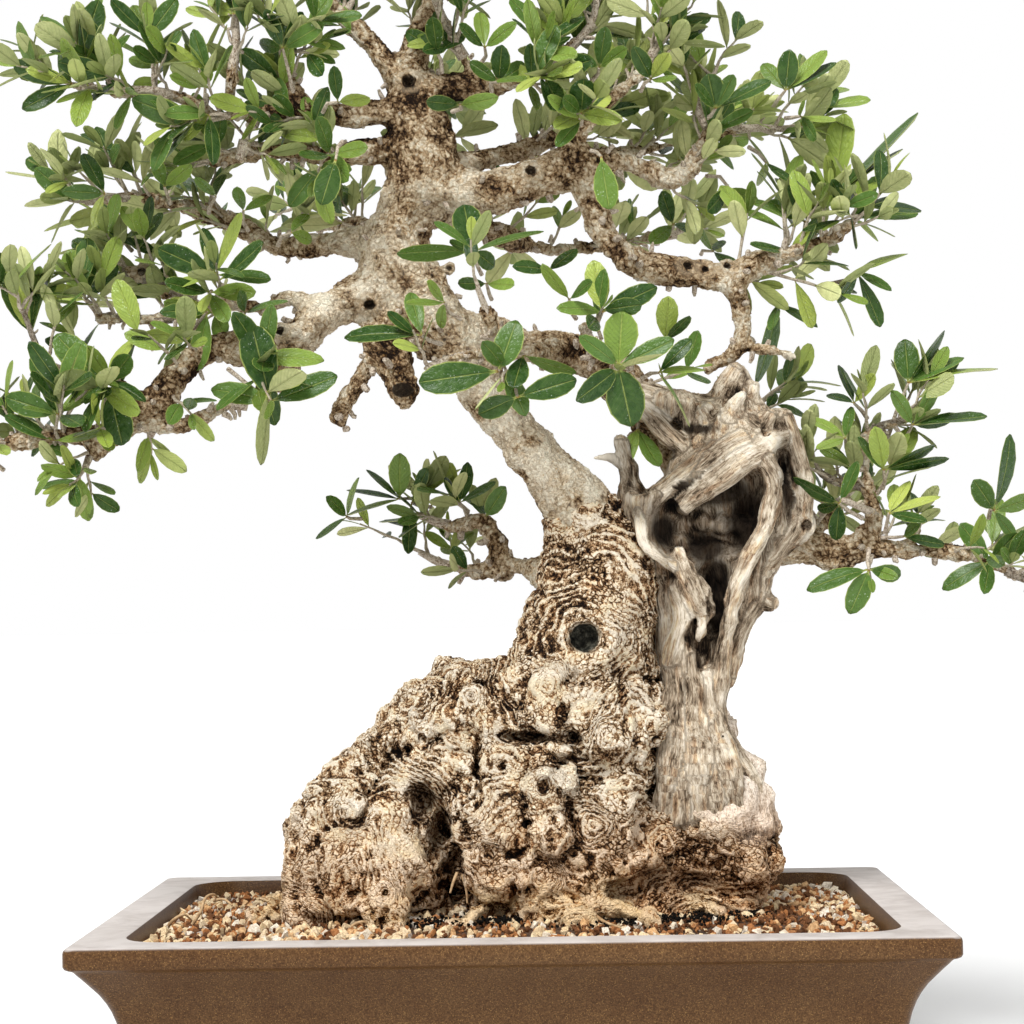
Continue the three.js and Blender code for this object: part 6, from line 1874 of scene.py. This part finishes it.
def leaf_surface(tree, shader):
    tint, young = attribute(tree, "tint"), attribute(tree, "young")
    under, along, across = attribute(tree, "underside"), attribute(tree, "along"), attribute(tree, "across")
    place = object_place(tree)
    side = maths("ABSOLUTE", across)
    top = ramp(tint,
               [(0.0, (0.014, 0.050, 0.006)), (0.40, (0.080, 0.160, 0.026)), (0.75, (0.235, 0.335, 0.055)),
                (1.0, (0.480, 0.550, 0.120))])
    below = ramp(tint,
                 [(0.0, (0.290, 0.330, 0.125)), (0.5, (0.520, 0.550, 0.245)), (1.0, (0.720, 0.740, 0.350))])
    leafy = mix(under, top, below)
    leafy = mix(young, leafy, (0.36, 0.45, 0.07))
    patch = noise(place, 260.0, 3.0, 0.6)
    leafy = mix(between(patch, 0.35, 0.75, 0.0, 0.30), leafy, (0.13, 0.22, 0.05))
    angle = along * 30.0 - side * 9.0
    vein = between(maths("SINE", angle * 2.2), 0.75, 1.0)
    leafy = mix(vein * 0.10, leafy, (0.22, 0.33, 0.09))
    rib = between(side, 0.055, 0.015)
    edge = between(side, 0.90, 0.97)
    pale = maths("MAXIMUM", rib * 0.45, edge * 0.62)
    pale = maths("MAXIMUM", pale, between(along, 0.13, 0.05))
    line = mix(under * rib, (0.42, 0.47, 0.12), (0.15, 0.19, 0.04))
    leafy = mix(pale, leafy, line)
    leafy = mix(between(along, 0.05, 0.01), leafy, (0.55, 0.33, 0.10))
    specks = node(tree, "ShaderNodeTexVoronoi", {"Vector": place, "Scale": 640.0})["Distance"]
    speck = between(specks, 0.19, 0.10) * between(noise(place, 120.0, 1.0), 0.50, 0.60)
    leafy = mix(speck * 0.5, leafy, (0.70, 0.76, 0.66))
    shader["Base Color"] = leafy
    gloss = 0.21 + under * 0.40
    shader["Roughness"] = gloss + patch * 0.14
    shader["Specular IOR Level"] = 0.20
    shader["Coat Roughness"] = 0.2
    shader["Coat Weight"] = (1.0 - under) * 0.13
    relief = vein * 0.3 + patch * 2.0
    relief -= between(side, 0.14, 0.0) * 0.9
    shader["Normal"] = bump(relief, 0.0006, 0.9)


def twig_surface(tree, shader):
    crumb = use_group(CRUMB, Place=place_in_mm(tree), Size=1.2)
    bark = ramp(crumb["Height"],
                [(0.42, (0.060, 0.034, 0.020)), (0.60, (0.27, 0.18, 0.115)), (0.75, (0.42, 0.315, 0.22)),
                 (0.95, (0.60, 0.52, 0.42))])
    slim = between(attribute(tree, "thick"), 0.00115, 0.0007)
    bark = mix(slim * 0.6, bark, (0.50, 0.44, 0.32))
    shader["Base Color"] = bark
    shader["Roughness"] = 0.75
    shader["Specular IOR Level"] = 0.3
    shader["Normal"] = bump(crumb["Height"], 0.0007, 0.8)


def make_foliage():
    """All leaves and twigs, which are attached to the root body here, with the nodes they stand for hidden.
    Gives the two node trees to others.
    """
    forms = forms_of("leaf_forms", [leaf_form(index) for index in range(len(LEAF_FORMS))])
    leaf_finish = material("leaf", leaf_surface)
    twig_finish = material("twig_bark", twig_surface)
    leaf_nodes, twig_nodes = leaf_tree(), twig_tree()
    regions = grow_foliage()
    twig_ends(regions)
    grow_spurs(regions)
    for name, foliage in regions.items():
        nodes = ["spray_" + row[0] for row in SPRAYS if region_of(row[0]) == name]
        power = DEEPER_GREEN.get(name, CROWN_GREEN)
        leaves = leaf_piece("leaves_" + name, foliage.leaves, power, leaf_nodes, forms, leaf_finish)
        twigs = line_piece("twigs_" + name, foliage.lines, twig_nodes, twig_finish)
        hand_in(leaves, "leaf", *nodes)
        hand_in(twigs, "bark", *nodes)
    drop_forms(forms)
    return leaf_nodes, twig_nodes


def forms_of(name, meshes):
    """A collection of small forms that a node tree picks from."""
    forms = bpy.data.collections.new(name)
    for mesh in meshes:
        forms.objects.link(bpy.data.objects.new(mesh.name, mesh))
    return forms


def drop(thing):
    data = thing.data
    bpy.data.objects.remove(thing)
    bpy.data.meshes.remove(data)


def drop_forms(forms):
    for form in list(forms.objects):
        drop(form)
    bpy.data.collections.remove(forms)


# ------------------------------------------------------------------ pot

POT_HALF_X = (POT_HIGH.x - POT_LOW.x) / 2 / MM
POT_HALF_Y = (POT_HIGH.y - POT_LOW.y) / 2 / MM
POT_TALL = POT_HIGH.z / MM
FLOOR_DROP = 75.0
DRAIN_RADIUS, DRAIN_X = 13.0, 88.0
FOOT_INSET, FOOT_X, FOOT_Y, FOOT_THICK = 20.5, 52.0, 39.0, 15.0
CORNER_STEPS = 9
SOFT_EDGE = math.radians(32)  # edges of the clay that turn less than this are smooth
# Outside of the pot from its foot to its rim, as how far in from the rim and how far below it.
OUTER_CURVE = [(18.5, 84.0), (17.8, 83.0), (17.8, 77.5), (18.6, 76.4), (21.6, 75.6), (22.4, 74.8),
               (22.6, 66), (22.5, 58), (22.0, 50), (21.2, 43), (19.6, 36), (17.8, 30.8), (15.9, 26.8),
               (13.2, 22.4), (10.4, 18.9), (7.0, 14.7), (5.0, 12.4), (3.9, 11.0), (3.0, 10.3), (1.8, 9.9),
               (0.6, 9.2), (0.0, 8.0), (0.0, 2.2), (0.3, 1.0), (1.1, 0.25), (2.2, 0.0)]
INNER_CURVE = [(20.6, 0.0), (21.5, 0.3), (22.0, 1.2), (22.8, 4.0), (24, 8), (29, 28), (33.5, 50),
               (34.5, FLOOR_DROP)]
OUTER_CORNER, INNER_CORNER = 4.5, 22.0


def corner_loop(inset, down, radius):
    """A rectangle with round corners, anticlockwise from above, in the part's frame."""
    radius = max(1.0, radius)
    points = []
    for sx, sy, start in ((1, 1, 0), (-1, 1, 90), (-1, -1, 180), (1, -1, 270)):
        for i in range(CORNER_STEPS + 1):
            angle = math.radians(start + 90 * i / CORNER_STEPS)
            points.append((sx * (POT_HALF_X - inset - radius) + radius * math.cos(angle),
                           sy * (POT_HALF_Y - inset - radius) + radius * math.sin(angle), POT_TALL - down))
    return points


def loft(name, loops):
    """A closed mesh over loops of the same number of points, in millimetres round the pot's middle."""
    n = len(loops[0])
    points = np.array([p for loop in loops for p in loop]) * MM
    points[:, 0] += POT_MIDDLE_X
    faces = [(k * n + i, k * n + (i + 1) % n, (k + 1) * n + (i + 1) % n, (k + 1) * n + i)
             for k in range(len(loops) - 1) for i in range(n)]
    faces += [tuple(range(n))[::-1], tuple((len(loops) - 1) * n + i for i in range(n))]
    mesh = bpy.data.meshes.new(name)
    mesh.from_pydata(points.tolist(), [], faces)
    return link(name, mesh)


def combine(thing, others, operation):
    """Joins or cuts closed pieces with a boolean, which is then applied."""
    for other in others:
        modifier = thing.modifiers.new("shape", "BOOLEAN")
        modifier.operation = operation
        modifier.solver = "EXACT"
        modifier.object = other
        settle(thing)
        drop(other)


def foot(sx, sy):
    """A plain corner foot: an L with round edges that follows the corner of the pot."""
    reach_x, reach_y = POT_HALF_X - FOOT_INSET, POT_HALF_Y - FOOT_INSET
    outline = [(0, 0), (FOOT_X, 0), (FOOT_X, FOOT_THICK), (FOOT_THICK, FOOT_THICK), (FOOT_THICK, FOOT_Y),
               (0, FOOT_Y)]
    loops = []
    for down, slim in ((95.0, 2.6), (94.2, 1.8), (86.0, 0.2), (82.0, 0.0)):
        loop = []
        for x, y in outline:
            x = min(max(x, slim), FOOT_X - slim) if x in (0, FOOT_X) else x - slim
            y = min(max(y, slim), FOOT_Y - slim) if y in (0, FOOT_Y) else y - slim
            loop.append((sx * (reach_x - x), sy * (reach_y - y), POT_TALL - down))
        loops.append(loop if sx * sy > 0 else loop[::-1])
    return outward(loft("foot", loops))


def outward(thing):
    """Merges doubled points and turns all faces outwards."""
    made = bmesh.new()
    made.from_mesh(thing.data)
    bmesh.ops.remove_doubles(made, verts=made.verts, dist=1e-6)
    bmesh.ops.recalc_face_normals(made, faces=made.faces)
    made.to_mesh(thing.data)
    made.free()
    return thing


def drain(x):
    """A peg that cuts one drain hole out of the floor."""
    ring = [(x + DRAIN_RADIUS * math.cos(t), DRAIN_RADIUS * math.sin(t))
            for t in np.linspace(0, 2 * np.pi, 33)[:-1]]
    return outward(loft("drain", [[(*p, z) for p in ring] for z in (2.0, 40.0)]))


def make_pot(finish):
    loops = [corner_loop(inset, down, OUTER_CORNER + inset * 0.1) for inset, down in OUTER_CURVE]
    loops += [corner_loop(inset, down, INNER_CORNER) for inset, down in INNER_CURVE]
    pot = outward(loft("pot_body", loops))
    combine(pot, [foot(sx, sy) for sx in (-1, 1) for sy in (-1, 1)], "UNION")
    combine(pot, [drain(-DRAIN_X), drain(DRAIN_X)], "DIFFERENCE")
    pot.name = pot.data.name = "clay_pot"
    outward(pot)
    dress(pot, finish)
    smooth(pot.data)
    made = bmesh.new()
    made.from_mesh(pot.data)
    for edge in made.edges:
        edge.smooth = edge.calc_face_angle(0.0) < SOFT_EDGE
    made.to_mesh(pot.data)
    made.free()
    return pot


def clay_surface(tree, shader):
    mm = place_in_mm(tree)
    cloud = noise(mm, 0.03, 4.0, 0.6, 0.4)
    grain = noise(mm, 1.3, 3.0, 0.7)
    clay = ramp(grain,
                [(0.32, (0.052, 0.024, 0.007)), (0.50, (0.104, 0.050, 0.018)),
                 (0.64, (0.160, 0.084, 0.032)), (0.80, (0.34, 0.195, 0.065))])
    clay = mix(between(cloud, 0.35, 0.7, 0.0, 0.4), clay, (0.22, 0.135, 0.075), "OVERLAY")
    dots = node(tree, "ShaderNodeTexVoronoi", {"Vector": mm, "Scale": 1.25})
    dot = between(dots["Distance"], 0.26, 0.15) * between(noise(mm, 0.6, 1.0), 0.46, 0.54)
    clay = mix(dot * 0.55, clay, (0.50, 0.29, 0.10))
    # Painted reflection: up-facing clay, mostly the rim's top, is mixed towards pale grey, broken up by
    # blotches.
    up = axis_of(node(tree, "ShaderNodeNewGeometry")["Normal"], "Z")
    blotches = noise(mm, 0.045, 5.0, 0.62, 0.6)
    top_sheen = between(up, 0.80, 0.97) * between(blotches, 0.68, 0.42, 0.66, 0.92)
    clay = mix(top_sheen, clay, (0.67, 0.62, 0.59))
    shader["Base Color"] = clay
    shader["Roughness"] = between(up, 0.3, 0.95, 0.36, 0.5)
    shader["Specular IOR Level"] = 0.18
    shader["Normal"] = bump(grain * 0.5 + blotches, 0.0004, 0.5)


def mesh_surface(tree, shader):
    tone = noise(place_in_mm(tree), 0.5, 2.0)
    shader["Base Color"] = ramp(tone, [(0.3, (0.006, 0.006, 0.006)), (0.7, (0.02, 0.02, 0.021))])
    shader["Roughness"] = 0.55


# ------------------------------------------------------------------ soil and grit

SOIL_HALF_X, SOIL_HALF_Y = POT_HALF_X - 24.6, POT_HALF_Y - 24.6
SOIL_STEPS = (90, 62)
SOIL_EDGE, SOIL_FLOOR = -8.6, -72  # height of the bed's rim and of its underside
SOIL_TAPER = 12
GRAIN_FORMS = 4
GRIT_GAP = 4.3
STONE_COLOURS = [(0.95, 0.78, 0.53), (0.78, 0.51, 0.27), (0.47, 0.22, 0.090), (0.185, 0.086, 0.040),
                 (0.55, 0.49, 0.43), (0.98, 0.90, 0.76), (0.008, 0.007, 0.006)]
# Dark crumbs at the foot of the tree, as x, y and reach in the tree's frame.
HUMUS = [[-45, -48, 26], [-20, -52, 20], [34, -56, 24], [62, -50, 26], [92, -34, 26], [110, -20, 16],
         [-8, -52, 14], [78, -46, 22]]
# Brown loam where little grit lies, in the same form.
LOAM = [[104, -26, 30], [74, -60, 22], [30, -66, 18], [-34, -62, 16], [-110, -22, 22], [122, -40, 20]]


def soil_height(x, y):
    """Height over the rim's plane, in millimetres round the pot's middle."""
    away = np.hypot((x - 8) / 150, (y + 2) / 90)
    return -7.6 + 7 * np.exp(-1.6 * away ** 2)


def make_soil(finish):
    """The bed under the loose grains, as wide as the pot inside and closed below."""
    nx, ny = SOIL_STEPS
    gx, gy = np.meshgrid(np.linspace(-1, 1, nx + 1), np.linspace(-1, 1, ny + 1), indexing="ij")
    corner = 1 - 0.022 * np.clip(np.abs(gx) + np.abs(gy) - 1.75, 0, 1) / 0.25
    x, y = gx * SOIL_HALF_X * corner, gy * SOIL_HALF_Y * corner
    z = soil_height(x, y) - 1.0 + np.random.default_rng(5).normal(0, 0.35, x.shape)
    z[[0, -1], :] = z[:, [0, -1]] = SOIL_EDGE
    top = in_part(x, y, z).reshape(-1, 3)
    index = np.arange((nx + 1) * (ny + 1)).reshape(nx + 1, ny + 1)
    faces = np.stack([index[:-1, :-1], index[1:, :-1], index[1:, 1:], index[:-1, 1:]], -1)
    faces = faces.reshape(-1, 4).tolist()
    rim = [*index[:, 0], *index[-1, 1:], *index[-2::-1, -1], *index[0, -2:0:-1]]
    low = top[rim].copy()
    low[:, 2] = RIM_Z + SOIL_FLOOR * MM
    low[:, 0] = POT_MIDDLE_X + (low[:, 0] - POT_MIDDLE_X) * (SOIL_HALF_X - SOIL_TAPER) / SOIL_HALF_X
    low[:, 1] *= (SOIL_HALF_Y - SOIL_TAPER) / SOIL_HALF_Y
    first, n = len(top), len(rim)
    faces += [(rim[i], first + i, first + (i + 1) % n, rim[(i + 1) % n]) for i in range(n)]
    faces.append(tuple(range(first, first + n))[::-1])
    mesh = bpy.data.meshes.new("soil_bed")
    mesh.from_pydata(np.vstack([top, low]).tolist(), [], [tuple(int(i) for i in f) for f in faces])
    mesh.materials.append(finish)
    smooth(mesh)
    return outward(link("soil_bed", mesh))


def grain_form(index, random):
    """A small broken stone: the hull of a few points on an uneven ball."""
    points = random.normal(0, 1, (12, 3))
    points /= np.linalg.norm(points, axis=1)[:, None]
    points *= random.uniform(0.42, 0.55, (12, 1)) * np.array([1.0, 0.84, 0.72])
    made = bmesh.new()
    for p in points:
        made.verts.new(p)
    hull = bmesh.ops.convex_hull(made, input=made.verts)
    loose = [v for v in hull["geom_interior"] if isinstance(v, bmesh.types.BMVert)]
    bmesh.ops.delete(made, geom=loose, context="VERTS")
    mesh = bpy.data.meshes.new(f"grain_form_{index}")
    made.to_mesh(mesh)
    made.free()
    return mesh


def crumbs(random, wood, patches, spread_x, spread_y, closeness):
    """Places of crumbs strewn round patches, where neither wood nor the pot is."""
    for cx, cy, reach in patches:
        for _ in range(int(reach * reach / closeness)):
            x = cx + TREE_SHIFT[0] + random.normal(0, reach * spread_x)
            y = cy + random.normal(0, reach * spread_y)
            if wood(x, y) >= -2 and abs(y) <= SOIL_HALF_Y - 4 and abs(x) <= SOIL_HALF_X - 6:
                yield x, y


def grit_points(random, wood):
    """Where each grain lies: place, size and colour number."""
    rows = []
    for x in np.arange(-SOIL_HALF_X + 1.5, SOIL_HALF_X - 1, GRIT_GAP):
        for y in np.arange(-SOIL_HALF_Y + 1.5, SOIL_HALF_Y - 1, GRIT_GAP):
            px, py = x + random.uniform(-1.9, 1.9), y + random.uniform(-1.9, 1.9)
            px = float(np.clip(px, -SOIL_HALF_X + 2, SOIL_HALF_X - 2))
            py = float(np.clip(py, -SOIL_HALF_Y + 2, SOIL_HALF_Y - 2))
            if math.hypot(max(0, abs(px) - SOIL_HALF_X + 22), max(0, abs(py) - SOIL_HALF_Y + 22)) > 20.5:
                continue
            if wood(px, py) < -5:
                continue
            bare = any(math.hypot(px - TREE_SHIFT[0] - cx, py - cy) < reach for cx, cy, reach in LOAM)
            if bare and random.uniform() < 0.6:
                continue
            fine = 0.5 + 0.5 * math.sin(px * 0.045 + 1.7 + 0.6 * math.sin(py * 0.06))
            size = random.uniform(3.4, 5.2)
            size += random.uniform(1.0, 4.0) if random.uniform() < 0.42 - 0.24 * fine else 0
            shade = random.choice(6, p=[0.25, 0.19, 0.26, 0.20, 0.06, 0.04] if fine < 0.55
                                  else [0.13, 0.12, 0.30, 0.36, 0.05, 0.04])
            if size > 5.8:
                shade = random.choice([0, 1, 2, 5], p=[0.5, 0.2, 0.1, 0.2])
            rows.append((px, py, soil_height(px, py) + random.uniform(-0.6, 0.9), size, shade))
    for x, y in crumbs(random, wood, HUMUS, 0.4, 0.28, 4.5):
        rows.append((x, y, soil_height(x, y) + random.uniform(1.0, 2.4), random.uniform(1.2, 2.6), 6))
    for x, y in crumbs(random, wood, LOAM, 0.5, 0.4, 3.2):
        rows.append((x, y, soil_height(x, y) + random.uniform(0.2, 1.6), random.uniform(1.2, 3.4),
                     random.choice([2, 3], p=[0.2, 0.8])))
    return rows


def make_grit(finish, set_forms, field):
    """The loose grains, kept off the wood that a field of distances tells of."""
    random = np.random.default_rng(11)
    level = field.d[:, :, int((-4 - field.low[2]) / field.step)]

    def wood(x, y):
        i, j = int((x - TREE_SHIFT[0] - field.low[0]) / field.step), int((y - field.low[1]) / field.step)
        inside = 0 <= i < level.shape[0] and 0 <= j < level.shape[1]
        return float(level[i, j]) if inside else FAR

    x, y, z, size, shade = np.array(grit_points(random, wood)).T
    forms = forms_of("grain_forms", [grain_form(index, random) for index in range(GRAIN_FORMS)])
    mesh = bpy.data.meshes.new("grit")
    mesh.from_pydata(in_part(x, y, z).tolist(), [], [])
    count = len(x)
    keep(mesh, "turn", random.uniform(0, 6.28, (count, 3)))
    keep(mesh, "size", size[:, None] * MM * random.uniform(0.85, 1.15, (count, 3)))
    keep(mesh, "form", random.integers(0, GRAIN_FORMS, count))
    keep(mesh, "shade", (shade + 0.5) / len(STONE_COLOURS))
    keep(mesh, "tint", random.uniform(0, 1, count))
    grit = run_nodes(link("grit_grains", mesh), set_forms, Forms=forms, Material=finish)
    drop_forms(forms)
    return grit


def grit_surface(tree, shader):
    mm = place_in_mm(tree)
    shade, tint = attribute(tree, "shade"), attribute(tree, "tint")
    bands = [(index / len(STONE_COLOURS), colour) for index, colour in enumerate(STONE_COLOURS)]
    stone = ramp(shade, bands, "CONSTANT")
    spots = noise(mm, 0.9, 4.0, 0.7)
    stone = mix(between(spots, 0.40, 0.62, 0.5, 0.0), stone, (0.20, 0.12, 0.07), "MULTIPLY")
    stone = mix(between(tint, 0.0, 1.0, 0.0, 0.35), stone, (0.62, 0.44, 0.28), "OVERLAY")
    shader["Base Color"] = stone
    shader["Roughness"] = 0.9
    shader["Specular IOR Level"] = 0.1
    shader["Normal"] = bump(noise(mm, 1.6, 4.0, 0.7), 0.0006, 0.8)


def bed_surface(tree, shader):
    mm = place_in_mm(tree)
    tone = noise(mm, 0.4, 4.0, 0.7)
    shader["Base Color"] = ramp(tone, [(0.35, (0.03, 0.016, 0.009)), (0.65, (0.14, 0.075, 0.04))])
    shader["Roughness"] = 0.95
    shader["Normal"] = bump(tone, 0.001, 0.8)


# Loose root ends, as routes of what shows on the view's grid.
ROOT_HAIRS = [
    [seen(166, 928, -22), seen(174, 919, -26), seen(184, 914, -24), seen(192, 920, -20)],
    [seen(191, 926, -24), seen(200, 912, -26), seen(205, 898, -22), seen(213, 894, -16), seen(219, 899, -10)],
    [seen(214, 900, -12), seen(224, 899, -20), seen(232, 905, -24)],
    [seen(346, 930, -48), seen(356, 922, -50), seen(366, 921, -50), seen(372, 928, -50)],
    [seen(590, 912, -56), seen(604, 921, -60), seen(618, 926, -62), seen(632, 934, -62)],
    [seen(456, 872, -40), seen(452, 882, -42), seen(449, 892, -42)],
    [seen(461, 874, -40), seen(465, 888, -42), seen(466, 902, -42)],
]


def hair_surface(tree, shader):
    tone = noise(object_place(tree), 400.0, 2.0)
    shader["Base Color"] = ramp(tone, [(0.3, (0.30, 0.17, 0.07)), (0.7, (0.62, 0.43, 0.24))])
    shader["Roughness"] = 0.8


def make_root_hairs(finish, twig_skin):
    lines = []
    for route in ROOT_HAIRS:
        line = smooth_route([[*p, 1.0] for p in route], 2.0)[:, :3]
        lines.append((line, 0.95 - 0.45 * np.linspace(0, 1, len(line))))
    return line_piece("root_hairs", lines, twig_skin, finish)


def main():
    set_camera()
    set_light()
    set_floor()
    bark_relief = relief_tree()
    burr, burr_grid = make_burr()
    run_nodes(burr, bark_relief, Material=material("burr_bark", burr_bark), **BURR_RELIEF)
    flat_bottom(burr, RIM_Z + (SOIL_CUT + TREE_SHIFT[1]) * MM)
    deadwood = make_deadwood()
    run_nodes(deadwood, bark_relief, Material=material("old_wood", old_wood), **DEADWOOD_RELIEF)
    limbs = make_limbs()
    run_nodes(limbs, bark_relief, Material=material("limb_bark", limb_bark), **LIMB_RELIEF)
    set_forms, twig_skin = make_foliage()
    hand_in(make_pot(material("clay", clay_surface)), "clay", "pot")
    bed = make_soil(material("soil_bed", bed_surface))
    grit = make_grit(material("grit", grit_surface), set_forms, burr_grid)
    for piece in (bed, grit):
        hand_in(piece, "grit", "soil")
    hairs = make_root_hairs(material("root_hairs", hair_surface), twig_skin)
    for name in ("drain_mesh_left", "drain_mesh_right"):
        dress(frame["nodes"][name], material(name, mesh_surface))
    for piece in (hairs, burr, deadwood, limbs):
        hand_in(piece, "bark", "olive_wood")


main()
